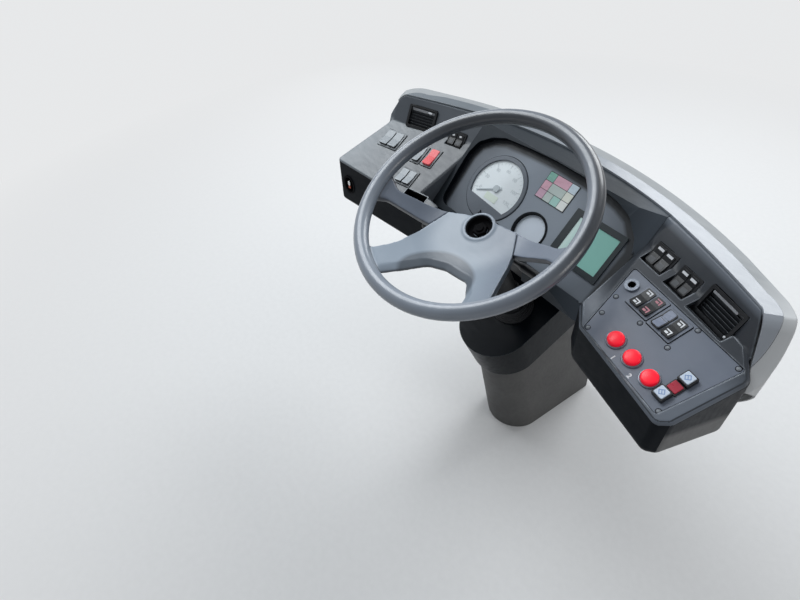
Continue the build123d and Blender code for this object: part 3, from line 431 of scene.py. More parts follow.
# %% Finishes of dials, glass and prints
dial_white = flat_finish("dial_white", (0.80, 0.86, 0.89), 0.42, depth=0.004, mottle=0.03, coat=0.4)
gauge_blue = flat_finish("gauge_pale_blue", (0.64, 0.71, 0.80), 0.40, depth=0.004, mottle=0.06, coat=0.4)
dial_ink = flat_finish("dial_ink", (0.62, 0.68, 0.71), 0.5, depth=0.004)
needle_grey = flat_finish("needle_grey", (0.52, 0.58, 0.61), 0.45, depth=0.004)
cream = flat_finish("odometer_cream", (0.74, 0.83, 0.74), 0.4, depth=0.004)
LCD_FADE = ((-1, 0, 0), -0.13, -0.085, (0.78, 0.93, 0.90))
lcd_green = flat_finish("lcd_green_grey", (0.24, 0.52, 0.455), 0.30, mottle=0.03, scratch=0.01,
                        fade=LCD_FADE)
display_black = finish("display_bezel", (0.014, 0.022, 0.027), 0.36, depth=0.01, rub_and_highlight_colour=(0.1, 0.12, 0.13),
                       edge=0.6)
mark_white = flat_finish("printed_white", (0.72, 0.74, 0.77), 0.5)
mark_pink = flat_finish("printed_pink", (0.48, 0.20, 0.24), 0.5)
mark_grey = flat_finish("printed_grey", (0.055, 0.061, 0.069), 0.4)
mark_blue = flat_finish("printed_blue", (0.20, 0.30, 0.52), 0.5)
chrome = flat_finish("toggle_chrome", (0.62, 0.62, 0.62), 0.18, metal=1.0)
orange = flat_finish("toggle_orange", (0.55, 0.09, 0.035), 0.4)
print(len(bpy.data.materials), "finishes so far")

# %% Finishes of wheel, column and steel
WHEEL_FADE = ((0.75, 0.60, 0.27), 0.0, 0.08, (0.130, 0.160, 0.210))
wheel_skin = finish("wheel_polished_grey", (0.235, 0.285, 0.345), 0.40, grain=1100, mottle=0.05,
                    fade=WHEEL_FADE, rub_and_highlight_colour=(0.52, 0.57, 0.64), rub_and_highlight_share=0.8, edge=1.6, scratch=0.03,
                    specular=0.8)
ARM_FADE = ((1, 0, 0), -0.05, 0.10, (0.165, 0.195, 0.250))
arm_skin = finish("arm_polished_grey", (0.092, 0.112, 0.148), 0.40, grain=1100, mottle=0.08, fade=ARM_FADE,
                  rub_and_highlight_colour=(0.42, 0.47, 0.54), rub_and_highlight_share=0.6, scratch=0.05, specular=0.7)
pedestal_grey = finish("pedestal_scuffed", (0.080, 0.079, 0.077), 0.58, mottle=0.16, rub_and_highlight_colour=(0.2, 0.2, 0.19),
                       dust=0.12)
boot_black = finish("boot_rubber", (0.012, 0.013, 0.015), 0.55, grain=500, rub_and_highlight_colour=(0.1, 0.1, 0.11))
steel_paint = finish("painted_steel", (0.030, 0.032, 0.035), 0.42, grain=300, rub_and_highlight_colour=(0.28, 0.25, 0.22),
                     rub_and_highlight_share=0.6, dust=0.1)
steel_bare = finish("bare_steel", (0.50, 0.49, 0.47), 0.34, grain=1500, depth=0.02, metal=0.9, mottle=0.1)
print(len(bpy.data.materials), "finishes so far")

# %% [markdown]
# ## The rim's skin
# The rim is darkest at the top and grows paler towards the driver and downward. A thin
# moulding line runs round its outer side. The line follows the ring, so the finish works
# out where a point lies on it: its height over the wheel's plane, its distance from the axis, and
# from those two its angle round the tube.

# %% Helpers for colours laid over a finish


def on_wheel(tree, coords):
    """The height over the wheel's plane and the distance from the axis, as sockets."""
    offset = vectors(tree, "SUBTRACT", coords, WHEEL)
    across = vectors(tree, "CROSS_PRODUCT", offset, AXIS)
    return vectors(tree, "DOT_PRODUCT", offset, AXIS), vectors(tree, "LENGTH", across)


def painted(made, share, colour):
    """Mixes a colour over what the finish already has, by a share from its own nodes."""
    tree = made.node_tree
    socket = tree.nodes["Principled BSDF"].inputs["Base Color"]
    wire(tree, blend_colour(tree, share, socket.links[0].from_socket, colour), socket)


def facing(made, direction, low, high, share):
    """How much a face of the finish looks along a direction of the resting model, as a socket."""
    tree = made.node_tree
    turned = node(tree, "VectorTransform", vector_type="NORMAL", convert_from="WORLD", convert_to="OBJECT")
    wire(tree, normal_in(tree), turned.inputs["Vector"])
    along = vectors(tree, "DOT_PRODUCT", turned.outputs["Vector"], direction)
    return remap(tree, along, low, high, 0, share)


# %% Rim finish
TUBE_SHARE = 29.0 / 449.8
RIM_TUBE = (rim_high.x - rim_low.x) / MM * TUBE_SHARE
RIM_R = (rim_high.x - rim_low.x) / MM / 2 - RIM_TUBE / 2
SEAM_WIDE = 0.10
SEAM_SHARE = 0.45
SEAM_GREY = (0.30, 0.33, 0.38)
RIM_FADE = ((-0.10, -0.91, -0.40), -0.08, 0.16, (0.200, 0.230, 0.275))
rim_skin = finish("rim_grip_grey", (0.022, 0.026, 0.034), 0.38, grain=900, depth=0.02, mottle=0.10,
                  scratch=0.08, coat=0.45, edge=0, specular=0.6, fade=RIM_FADE)
rim_tree = rim_skin.node_tree
rim_up, rim_away = on_wheel(rim_tree, place_in(rim_tree))
rim_angle = maths(rim_tree, "ARCTAN2", rim_up, maths(rim_tree, "SUBTRACT", rim_away, RIM_R * MM))
seam = remap(rim_tree, maths(rim_tree, "ABSOLUTE", rim_angle), 0, SEAM_WIDE, SEAM_SHARE, 0)
painted(rim_skin, seam, SEAM_GREY)
print("rim's middle line", round(RIM_R, 1), "mm from the axis, tube", round(RIM_TUBE, 1), "mm")

# %% [markdown]
# ## The hub's recess and the spokes' sides
# The plate dips round its window, and the dip is painted darker as shade. In the wheel's
# plane the dip is close to an ellipse, and a point's place in it is the length of its scaled offset.
# The sides of plate and arms look away from the sky, so they are painted darker as shade too. They
# are known by the angle between their normal and the wheel's axis.

# %% Painted shade in the recess and on the sides
DIP_AT = (0.036, -0.130)
DIP_HALF = (0.078, 0.064)
DIP_EDGE = (0.93, 1.04)
DIP_SHADE_SHARE = 0.88
DIP_SHADE = (0.070, 0.086, 0.106)
SIDE_TURN = (0.70, 0.35)
SIDE_SHADE_SHARE = 0.85
SIDE_SHADE = (0.030, 0.036, 0.046)
to_wheel = WHEEL_PLANE.inverted()
wheel_tree = wheel_skin.node_tree
turned = node(wheel_tree, "Mapping", Location=to_wheel.translation, Rotation=to_wheel.to_euler())
wire(wheel_tree, place_in(wheel_tree), turned.inputs["Vector"])
dip_scale = (1 / DIP_HALF[0], 1 / DIP_HALF[1], 0)
dip_shift = (-DIP_AT[0] / DIP_HALF[0], -DIP_AT[1] / DIP_HALF[1], 0)
scaled = vectors(wheel_tree, "MULTIPLY_ADD", turned.outputs["Vector"], dip_scale, dip_shift)
reach = vectors(wheel_tree, "LENGTH", scaled)
painted(wheel_skin, remap(wheel_tree, reach, *DIP_EDGE, DIP_SHADE_SHARE, 0), DIP_SHADE)
for skin in (wheel_skin, arm_skin):
    painted(skin, facing(skin, AXIS, *SIDE_TURN, SIDE_SHADE_SHARE), SIDE_SHADE)
print("recess at", DIP_AT, "m on the wheel's plane")

# %% [markdown]
# ## Light from the side window
# The sky through the driver's window lies on the side of the rim that looks at it, on the upper
# edge of the right riser, and on the middle of the instrument panel. Each is a paler colour whose
# share comes from where a face looks or where a point lies.

# %% Pale side of the rim
TO_WINDOW = Vector((-0.82, -0.20, 0.54))
WINDOW_TURN = (0.35, 0.85)
WINDOW_SHARE = 0.85
WINDOW_GREY = (0.26, 0.29, 0.34)
painted(rim_skin, facing(rim_skin, TO_WINDOW, *WINDOW_TURN, WINDOW_SHARE), WINDOW_GREY)

# %% Light line along the top of the right riser
LINE_START = spot(RISER["riser_rockers_b"], -18, 54).translation
LINE_END = spot(RISER["vent_right"], 40, 45).translation
LINE_BELOW = (0.014, 0.004)
LINE_SHARE = 0.8
LINE_GREY = (0.13, 0.15, 0.18)
line_up = (RISER["vent_right"].to_3x3() @ Vector((0, 0, 1))).cross((LINE_END - LINE_START).normalized())
line_level = line_up.dot(LINE_START)
line_low, line_high = (line_level - below for below in LINE_BELOW)
line_tree = riser_right.node_tree
above = vectors(line_tree, "DOT_PRODUCT", place_in(line_tree), line_up)
painted(riser_right, remap(line_tree, above, line_low, line_high, 0, LINE_SHARE), LINE_GREY)
print("light line", round((LINE_END - LINE_START).length / MM), "mm long")

# %% Sky in the cluster's middle
SKY_AT = spot(CLUSTER, 5, 62).translation
SKY_REACH = (0.07, 0.18)
SKY_SHARE = 0.9
SKY_GREY = (0.250, 0.290, 0.342)
sky_tree = cluster_grey.node_tree
sky_coords = place_in(sky_tree)
from_sky = vectors(sky_tree, "DISTANCE", sky_coords, SKY_AT)
painted(cluster_grey, remap(sky_tree, from_sky, *SKY_REACH, SKY_SHARE, 0), SKY_GREY)
print("sky at", [round(v, 3) for v in SKY_AT])

# %% [markdown]
# ## The hood's shade on the cluster
# The hood stands before the cluster's edge and keeps the sky off it. The edge of the opening is a
# convex outline, so the distance of a point from it is the largest of its distances from the sides.
# The lower side isn't listed, because it lies in the light.

# %% Dark band under the hood's edge
SHADE_EDGE = [
    (-214, 45), (-216, 87), (-208, 116), (-182, 138), (-151, 150), (-86, 156), (-16, 160),
    (109, 155), (140, 150), (173, 139), (202, 112), (214, 87), (212, 20),
]
SHADE_FADE = (-0.018, -0.0108)
SHADE_SHARE = 0.95
SHADE_GREY = (0.006, 0.008, 0.011)
nearest = None
for start, end in zip(SHADE_EDGE, SHADE_EDGE[1:]):
    along = (Vector((*end, 0)) - Vector((*start, 0))).normalized()
    outward = CLUSTER.to_3x3() @ Vector((-along.y, along.x, 0))
    level = outward.dot(spot(CLUSTER, *start).translation)
    inside = maths(sky_tree, "SUBTRACT", vectors(sky_tree, "DOT_PRODUCT", sky_coords, outward), level)
    nearest = maths(sky_tree, "MAXIMUM", nearest, inside) if nearest else inside
painted(cluster_grey, remap(sky_tree, nearest, *SHADE_FADE, 0, SHADE_SHARE), SHADE_GREY)
print("shade along", len(SHADE_EDGE) - 1, "sides of the opening")

# %% Glow of the stop buttons
GLOW_RED = (1.0, 0.002, 0.03, 1)
GLOW = 0.30
glow = button_red.node_tree.nodes["Principled BSDF"]
glow.inputs["Emission Color"].default_value = GLOW_RED
glow.inputs["Emission Strength"].default_value = GLOW
print(len(bpy.data.materials), "finishes")

# %% [markdown]
# ## Pieces from the frame's own solids
# A solid from the frame is a loose set of triangles. A merged copy of it has true edges again, so
# it can be shaded smooth between its sharp edges and given a finish for each region. The copy
# replaces the node, and the node stays in the physics.

# %% Copies of the frame's solids
BODIES = {name: body for body, names in frame["record"]["behaviour"]["bodies"].items() for name in names}
SHARP = 32.0
WELD = 0.00002
FLAT_TURN = 0.4


def shaded(mesh, sharp=SHARP):
    for face in mesh.polygons:
        face.use_smooth = True
    mesh.set_sharp_from_angle(angle=math.radians(sharp))


def show(name, mesh, body, slot, replaced=(), weighted=True):
    made = bpy.data.objects.new(name, mesh)
    bpy.context.scene.collection.objects.link(made)
    if weighted:
        even = made.modifiers.new("even_normals", "WEIGHTED_NORMAL")
        even.keep_sharp = True
    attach(made, body)
    if replaced:
        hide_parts(*replaced)
    return made


def merged(name):
    bm = bmesh.new()
    bm.from_mesh(nodes[name].data)
    bmesh.ops.remove_doubles(bm, verts=bm.verts, dist=WELD)
    bmesh.ops.dissolve_limit(bm, angle_limit=math.radians(FLAT_TURN), verts=bm.verts, edges=bm.edges)
    return bm


def dressed(name, slot, finishes, region=None, sharp=SHARP):
    bm = merged(name)
    if region:
        for face in bm.faces:
            face.material_index = region(face.calc_center_median(), face.normal)
    mesh = bpy.data.meshes.new(name + "_skin")
    bm.to_mesh(mesh)
    bm.free()
    for one in finishes:
        mesh.materials.append(one)
    shaded(mesh, sharp)
    return show(name + "_skin", mesh, BODIES[name], slot, [name])


def dressed_plain(rows):
    """rows: node, slot, finish."""
    for name, slot, skin in rows:
        dressed(name, slot, [skin])


# %% [markdown]
# ## The mouldings
# The left wing has a flat ledge with switches, a riser behind it and a front. The fronts and
# undersides take near-black finishes as painted shade. The regions are told apart by the height
# over the ledge's own plane and by the way that the face looks.

# %% Left wing, right pod, hood, shell and strip
FLAT = 0.97
LEDGE_BAND = 6.0


def height_over(plane, point):
    return (plane.inverted() @ point).z / MM


def wing_region(plane):
    """0 the front, 1 the ledge or lip, 2 the riser, 3 the underside, 4 the side walls."""
    up = plane.to_3x3() @ Vector((0, 0, 1))

    def region(centre, normal):
        high = height_over(plane, centre)
        if normal.dot(up) > FLAT and abs(high) < LEDGE_BAND:
            return 1
        if high > 2 and normal.z > -0.2:
            return 2
        if normal.dot(up) > 0.35 and high > -8:
            return 1
        if abs(normal.x) > 0.75 and normal.z > -0.5:
            return 4
        return 3 if normal.z < -0.5 else 0

    return region


OPENING_HALF = 222.0
OPENING_LOW = -85.0
OPENING_HIGH = 168.0
OPENING_DEEP = (-2, 15)


def hood_region(centre, normal):
    """The wall round the opening is dark, because it always lies in the hood's own shade."""
    at = (CLUSTER.inverted() @ centre) / MM
    up = CLUSTER.to_3x3() @ Vector((0, 0, 1))
    across = abs(at.x) < OPENING_HALF and OPENING_LOW < at.y < OPENING_HIGH
    inside = across and OPENING_DEEP[0] < at.z < OPENING_DEEP[1]
    return 1 if inside and abs(normal.dot(up)) < 0.5 else 0


left_finishes = [front_shade_black, ledge_grey, riser_left, underside, riser_left]
pod_finishes = [front_shade_black, pod_lip, riser_right, underside, pod_wall_shade_and_light]
dressed("dash_left_wing", "dash_plastic", left_finishes, wing_region(LEDGE))
dressed("dash_right_pod", "dash_plastic", pod_finishes, wing_region(POD))
dressed("dash_hood", "dash_plastic", [hood_grey, front_shade_black], hood_region)
dressed_plain([
    ("outer_shell", "shell_grey", shell_grey),
    ("top_strip", "strip_silver", strip_silver),
    ("cluster_panel", "dash_plastic", cluster_grey),
    ("pod_plate", "panel_plate", plate_grey),
])
print("mouldings dressed")

# %% [markdown]
# ## Drawing helpers
# Small parts are drawn in millimetres: a lathe turns a profile about the plane's own axis, and a pad
# raises a rounded outline with a softened top edge. Both fill a mesh builder that several shapes can
# share, and the last helper turns it into a piece on its body.

# %% Lathe, pad and piece
ROUND_STEPS = 8


def lathe(bm, profile, steps=72, at=(0, 0), finish_of=None):
    rings = []
    for r, z in profile:
        if r < 0.001:
            rings.append([bm.verts.new((at[0], at[1], z))])
            continue
        ring = []
        for k in range(steps):
            a = 2 * math.pi * k / steps
            ring.append(bm.verts.new((at[0] + r * math.cos(a), at[1] + r * math.sin(a), z)))
        rings.append(ring)
    for i, (low, top) in enumerate(zip(rings, rings[1:])):
        for k in range(steps):
            n = (k + 1) % steps
            corners = [low[k % len(low)], low[n % len(low)], top[n % len(top)], top[k % len(top)]]
            corners = list(dict.fromkeys(corners))
            if len(corners) > 2:
                face = bm.faces.new(corners)
                face.material_index = finish_of[i] if finish_of else 0
    return bm


def rounded_outline(w, h, r):
    points = []
    for cx, cy, start in ((1, 1, 0), (-1, 1, 90), (-1, -1, 180), (1, -1, 270)):
        for k in range(ROUND_STEPS + 1):
            a = math.radians(start + 90 * k / ROUND_STEPS)
            points.append((cx * (w / 2 - r) + r * math.cos(a), cy * (h / 2 - r) + r * math.sin(a)))
    return points


def pad(bm, outline, low, high, soft, at=(0, 0), finish=0, lean=0.0):
    def loop(scale_x, scale_y, z, tip):
        return [bm.verts.new((at[0] + x * scale_x, at[1] + y * scale_y, z + tip * y)) for x, y in outline]

    w = max(x for x, y in outline)
    h = max(y for x, y in outline)
    layers = [loop(1, 1, low, 0), loop(1, 1, high - soft, lean)]
    for degrees in (30, 60, 90):
        a = math.radians(degrees)
        cut = soft * (1 - math.cos(a))
        layers.append(loop(1 - cut / w, 1 - cut / h, high - soft + soft * math.sin(a), lean))
    count = len(outline)
    for a, b in zip(layers, layers[1:]):
        for k in range(count):
            n = (k + 1) % count
            bm.faces.new((a[k], a[n], b[n], b[k])).material_index = finish
    bm.faces.new(layers[-1]).material_index = finish
    bm.faces.new(list(reversed(layers[0]))).material_index = finish
    return bm


def piece(name, bm, plane, slot, finishes, replaced=(), body="dashboard"):
    bmesh.ops.recalc_face_normals(bm, faces=bm.faces)
    bm.transform(plane @ Matrix.Scale(MM, 4))
    mesh = bpy.data.meshes.new(name)
    bm.to_mesh(mesh)
    bm.free()
    for one in finishes:
        mesh.materials.append(one)
    shaded(mesh)
    return show(name, mesh, body, slot, replaced)


# %% [markdown]
# ## Geometry Nodes for what repeats
# Three small trees serve the whole dashboard. One sweeps a round section along a circle, for the
# wheel's rim. One sets copies of a piece on points, each turned by its own angle, for screws and
# printed marks. One sets ticks round a dial. Each tree has named inputs, ends in Realize Instances
# and Set Material, and its result becomes a plain mesh.

# %% Tree helpers


def new_tree(name, inputs):
    made = bpy.data.node_groups.new(name, "GeometryNodeTree")
    made.interface.new_socket("Geometry", in_out="INPUT", socket_type="NodeSocketGeometry")
    for label, kind in inputs:
        made.interface.new_socket(label, in_out="INPUT", socket_type="NodeSocket" + kind)
    made.interface.new_socket("Geometry", in_out="OUTPUT", socket_type="NodeSocketGeometry")
    return made, made.nodes.new("NodeGroupInput"), made.nodes.new("NodeGroupOutput")


def step(tree, kind, **values):
    made = tree.nodes.new(kind)
    for name, value in values.items():
        setattr(made, name, value)
    return made


def join(tree, rows):
    """rows: node, its output, node, its input."""
    for source, output, target, socket in rows:
        wire(tree, source.outputs[output], target.inputs[socket])


def end_tree(tree, shape, given, out):
    real = step(tree, "GeometryNodeRealizeInstances")
    paint = step(tree, "GeometryNodeSetMaterial")
    wire(tree, shape, real.inputs["Geometry"])
    join(tree, [
        (real, "Geometry", paint, "Geometry"),
        (given, "Material", paint, "Material"),
        (paint, "Geometry", out, "Geometry"),
    ])


def result_of(data, setup=None):
    """The plain mesh that a passing object gives, with the modifiers that setup puts on it."""
    maker = bpy.data.objects.new("maker", data)
    bpy.context.scene.collection.objects.link(maker)
    if setup:
        setup(maker)
    ready = maker.evaluated_get(bpy.context.evaluated_depsgraph_get())
    made = bpy.data.meshes.new_from_object(ready)
    bpy.data.objects.remove(maker)
    return made


def grown(tree, values, start=None):
    def grow_it(maker):
        grow = maker.modifiers.new("grow", "NODES")
        grow.node_group = tree
        for item in tree.interface.items_tree:
            if item.item_type == "SOCKET" and item.in_out == "INPUT" and item.name in values:
                grow[item.identifier] = values[item.name]

    return result_of(start or bpy.data.meshes.new("start"), grow_it)


# %% Tree for the rim: a round section along a circle


def swept_circle_tree():
    inputs = [("Radius", "Float"), ("Section", "Float"), ("Steps", "Int"), ("Section Steps", "Int"),
              ("Material", "Material")]
    tree, given, out = new_tree("swept_circle", inputs)
    path = step(tree, "GeometryNodeCurvePrimitiveCircle")
    section = step(tree, "GeometryNodeCurvePrimitiveCircle")
    sweep = step(tree, "GeometryNodeCurveToMesh")
    join(tree, [
        (given, "Radius", path, "Radius"),
        (given, "Steps", path, "Resolution"),
        (given, "Section", section, "Radius"),
        (given, "Section Steps", section, "Resolution"),
        (path, "Curve", sweep, "Curve"),
        (section, "Curve", sweep, "Profile Curve"),
    ])
    end_tree(tree, sweep.outputs["Mesh"], given, out)
    return tree


SWEPT = swept_circle_tree()
print("tree", SWEPT.name)

# %% Tree for screws and marks: copies on points


def copies_tree():
    tree, given, out = new_tree("copies_on_points", [("Piece", "Object"), ("Material", "Material")])
    source = step(tree, "GeometryNodeObjectInfo")
    source.inputs["As Instance"].default_value = True
    angle = step(tree, "GeometryNodeInputNamedAttribute", data_type="FLOAT")
    angle.inputs["Name"].default_value = "turn"
    turn = step(tree, "ShaderNodeCombineXYZ")
    place = step(tree, "GeometryNodeInstanceOnPoints")
    join(tree, [
        (given, "Piece", source, "Object"),
        (angle, "Attribute", turn, "Z"),
        (given, "Geometry", place, "Points"),
        (source, "Geometry", place, "Instance"),
        (turn, "Vector", place, "Rotation"),
    ])
    end_tree(tree, place.outputs["Instances"], given, out)
    return tree


COPIES = copies_tree()


def stamp(name, model, places, plane, slot, finish):
    """Copies of model, a builder in mm, at (u, v, height, turn) on a plane, as one piece."""
    bmesh.ops.recalc_face_normals(model, faces=model.faces)
    one = bpy.data.meshes.new(name + "_model")
    model.to_mesh(one)
    model.free()
    source = bpy.data.objects.new(name + "_model", one)
    bpy.context.scene.collection.objects.link(source)
    points = bpy.data.meshes.new(name + "_points")
    points.from_pydata([(u, v, z) for u, v, z, turn in places], [], [])
    turns = points.attributes.new("turn", "FLOAT", "POINT")
    turns.data.foreach_set("value", [math.radians(turn) for u, v, z, turn in places])
    mesh = grown(COPIES, {"Piece": source, "Material": finish}, points)
    bpy.data.objects.remove(source)
    mesh.transform(plane @ Matrix.Scale(MM, 4))
    shaded(mesh)
    return show(name, mesh, "dashboard", slot)


print("tree", COPIES.name)

# %% Tree for dials: ticks along an arc


def dial_ticks_tree():
    inputs = [("Radius", "Float"), ("Count", "Int"), ("Start", "Float"), ("Sweep", "Float"),
              ("Size", "Vector"), ("Material", "Material")]
    tree, given, out = new_tree("dial_ticks", inputs)
    arc = step(tree, "GeometryNodeCurveArc")
    dots = step(tree, "GeometryNodeCurveToPoints", mode="COUNT")
    bar = step(tree, "GeometryNodeMeshCube")
    where = step(tree, "GeometryNodeInputPosition")
    align = step(tree, "FunctionNodeAlignRotationToVector", axis="X", pivot_axis="Z")
    place = step(tree, "GeometryNodeInstanceOnPoints")
    join(tree, [
        (given, "Count", arc, "Resolution"),
        (given, "Radius", arc, "Radius"),
        (given, "Start", arc, "Start Angle"),
        (given, "Sweep", arc, "Sweep Angle"),
        (given, "Size", bar, "Size"),
        (arc, "Curve", dots, "Curve"),
        (given, "Count", dots, "Count"),
        (where, "Position", align, "Vector"),
        (dots, "Points", place, "Points"),
        (bar, "Mesh", place, "Instance"),
        (align, "Rotation", place, "Rotation"),
    ])
    end_tree(tree, place.outputs["Instances"], given, out)
    return tree


TICKS = dial_ticks_tree()
print("tree", TICKS.name)

# %% [markdown]
# ## The steering wheel
# The rim is a foam grip on a steel ring, and the spoke plate and the two side arms are moulded over
# the same frame. The rim is a perfect sweep, so a tree makes it, a hair thinner than the solid.

# %% Rim
RIM_INSET = 0.05
rim_sizes = {"Radius": RIM_R, "Section": RIM_TUBE / 2 - RIM_INSET, "Steps": 200, "Section Steps": 40,
             "Material": rim_skin}
rim_mesh = grown(SWEPT, rim_sizes)
rim_mesh.transform(WHEEL_PLANE @ Matrix.Scale(MM, 4))
shaded(rim_mesh)
show("wheel_rim_grip", rim_mesh, "steering_wheel", "rim_grip", ["wheel_rim"], weighted=False)
print("rim", round(RIM_R, 1), "mm,", len(rim_mesh.polygons), "faces")

# %% [markdown]
# ## The spokes
# The plate and the arms flare into the rim like poured metal. Each solid is joined to a short piece
# of ring that hides in the rim, the two become one skin in a voxel remesh, and a smoothing that
# acts only near the rim rounds the inner corner between them. A light smoothing everywhere rounds
# the other edges, and keeps the seams between plate and arms, because each stays a body of its own.

# %% A piece of ring that hides in the rim
UNDER_RIM = 0.5
HIDDEN_RING = RIM_TUBE / 2 - UNDER_RIM


def ring_piece(start, end, steps=40, around=24):
    """A closed bent tube on the rim's circle, from one angle to another."""
    bm = bmesh.new()
    rings = []
    for i in range(steps + 1):
        a = math.radians(start + (end - start) * i / steps)
        ring = []
        for k in range(around):
            b = 2 * math.pi * k / around
            r = RIM_R + HIDDEN_RING * math.cos(b)
            ring.append(bm.verts.new((r * math.cos(a), r * math.sin(a), HIDDEN_RING * math.sin(b))))
        rings.append(ring)
    for low, top in zip(rings, rings[1:]):
        for k in range(around):
            n = (k + 1) % around
            bm.faces.new((low[k], low[n], top[n], top[k]))
    bm.faces.new(list(reversed(rings[0])))
    bm.faces.new(rings[-1])
    bmesh.ops.recalc_face_normals(bm, faces=bm.faces)
    bm.transform(WHEEL_PLANE @ Matrix.Scale(MM, 4))
    mesh = bpy.data.meshes.new("ring_piece")
    bm.to_mesh(mesh)
    bm.free()
    return mesh


# %% How far the smoothing reaches
FLARE_REACH = 34.0
FLARE_FULL = 1.3
HOLE_R = 25.5
HOLE_LIP = (1.5, 16.0)
LIP_SHARE = 0.35


def near_rim(point):
    """How much a point takes part in the flaring: all at the rim, some at the lip of the hub's hole."""
    at = (WHEEL_PLANE.inverted() @ point) / MM
    round_axis = math.hypot(at.x, at.y)
    away = math.hypot(round_axis - RIM_R, at.z) - RIM_TUBE / 2
    lip = LIP_SHARE if HOLE_LIP[0] < round_axis - HOLE_R < HOLE_LIP[1] else 0.0
    return max(lip, 0.0, min(1.0, FLARE_FULL - away / FLARE_REACH))


# %% Spoke plate and arms
VOXEL = 1.5
SOFT_STEPS = 5
FLARE_STEPS = 60
SMOOTHING = 0.5


def cast(name, finish, angles):
    bm = merged(name)
    for start, end in angles:
        bm.from_mesh(ring_piece(start, end))
    mesh = bpy.data.meshes.new(name + "_soft")
    bm.to_mesh(mesh)
    bm.free()

    def skin_over(maker):
        cubes = maker.modifiers.new("cubes", "REMESH")
        cubes.mode = "VOXEL"
        cubes.voxel_size = VOXEL * MM

    def eased(maker):
        group = maker.vertex_groups.new(name="near_rim")
        for vertex in maker.data.vertices:
            share = near_rim(vertex.co)
            if share:
                group.add([vertex.index], share, "REPLACE")
        for label, steps, where in (("ease", SOFT_STEPS, ""), ("flare", FLARE_STEPS, "near_rim")):
            ease = maker.modifiers.new(label, "SMOOTH")
            ease.factor = SMOOTHING
            ease.iterations = steps
            ease.vertex_group = where

    made = result_of(result_of(mesh, skin_over), eased)
    made.materials.clear()
    made.materials.append(finish)
    for face in made.polygons:
        face.use_smooth = True
    print(name, len(made.polygons), "faces after softening")
    return show(name + "_cast", made, BODIES[name], "wheel_plastic", [name], weighted=False)


#  node, finish, stretches of the rim that it flares into, in degrees
cast("hub_plate", wheel_skin, [(222, 272), (295, 335)])
cast("wheel_arm_left", arm_skin, [(177, 222)])
cast("wheel_arm_right", arm_skin, [(-10, 28)])

# %% [markdown]
# ## Inside the hub
# The horn's cap is missing, so the hub shows a well, painted deep black as its shade. At its bottom
# sits the nut that holds the wheel on its splined shaft, painted the same black as the shade it lies
# in. A lathe draws the well's liner, and the nut is a hexagon with turned corners.

# %% Well liner, nut and shaft end
HUB_TOP = -59.0


def turned_piece(name, profiles, plane, slot, finishes, replaced=(), body="dashboard"):
    """A piece of one or more turned shapes: each has a profile of (radius, height) and its steps."""
    bm = bmesh.new()
    for profile, steps in profiles:
        lathe(bm, profile, steps)
    bmesh.ops.remove_doubles(bm, verts=bm.verts, dist=0.001)
    return piece(name, bm, plane, slot, finishes, replaced, body)


hub_bottom = raised(WHEEL_PLANE, HUB_TOP)
WELL = [(HOLE_R - 0.3, -3), (HOLE_R - 2.2, -4.5), (HOLE_R - 2.6, -13), (14, -15.2), (14, -15.8),
        (HOLE_R - 0.3, -15.8), (HOLE_R - 0.3, -3)]
turned_piece("hub_well", [(WELL, 72)], hub_bottom, "switch_black", [shade_and_groove_black], body="steering_wheel")
NUT = [(0, -15), (14.5, -15), (14.5, -10), (13, -8.6), (0, -8.6)]
SHAFT_END = [(0, -9), (7.5, -9), (7.5, -6.5), (6.6, -5.6), (0, -5.6)]
nut = [(NUT, 6), (SHAFT_END, 24)]
turned_piece("hub_nut", nut, hub_bottom, "steel_bare", [shade_and_groove_black], body="steering_wheel")
dressed("steering_shaft", "steel_bare", [steel_bare])
print("hub's well", HOLE_R, "mm in radius")

# %% [markdown]
# ## The column
# The shroud is a smooth black cup whose front is round. The collar on it is a rubber boot with
# rings, which a lathe draws from a short profile. The stalks are copies of the frame's solids: a thin
# arm, a cone and a thick grip with a domed end.

# %% Column pieces
dressed("column_cup", "gloss_black", [gloss_black], sharp=40)
dressed("pedestal", "pedestal_grey", [pedestal_grey], sharp=40)
dressed_plain([
    ("tilt_head", "steel_paint", steel_paint),
    ("inner_column", "steel_bare", boot_black),
    ("column_foot", "steel_paint", steel_paint),
    ("cross_beam", "steel_paint", steel_paint),
    ("carrier_post", "steel_paint", steel_paint),
    ("tilt_pin", "steel_bare", steel_bare),
])
print("column dressed")

# %% Rubber boot of the collar
COLLAR_BASE = -371.6
COLLAR_H = 24.0
COLLAR_R = 47.0
COLLAR_BORE = 30.4
RINGS = 4
RING_STEP = 2.6
collar_top = COLLAR_BASE + COLLAR_H
boot = [(COLLAR_BORE, COLLAR_BASE), (COLLAR_R, COLLAR_BASE)]
for k in range(RINGS):
    low = COLLAR_BASE + COLLAR_H * (k + 0.15) / RINGS
    wide = COLLAR_R - RING_STEP * k
    boot += [(wide, low), (wide, low + 3.2), (wide - 3.4, low + 4.4), (wide - 3.4, low + 5.4)]
boot += [(COLLAR_R - 12.5, collar_top), (COLLAR_BORE, collar_top), (COLLAR_BORE, COLLAR_BASE)]
turned_piece("collar_boot", [(boot, 72)], WHEEL_PLANE, "switch_black", [boot_black], ["cup_collar"],
             "column_tilt")
print("boot with", RINGS, "rings")

# %% Switch housing and stalks
dressed_plain([
    ("switch_housing", "switch_black", underside),
    ("stalk_right", "switch_black", switch_black),
    ("stalk_left", "switch_black", switch_black),
])
print("stalks dressed")

# %% [markdown]
# ## Switches
# Each rocker set is a frame with its caps in a row. The solids already have the caps, so the copies
# only need their regions: the frame and the caps' sides are black, which on the grey caps is painted
# shade, and the top of a cap shows its own colour. A rocker is pressed at its upper end, so its lower
# end stands up, and the printed marks lie on the two slopes. A tree sets them on points.

# %% Rocker sets
CAP_TOP = 2.2


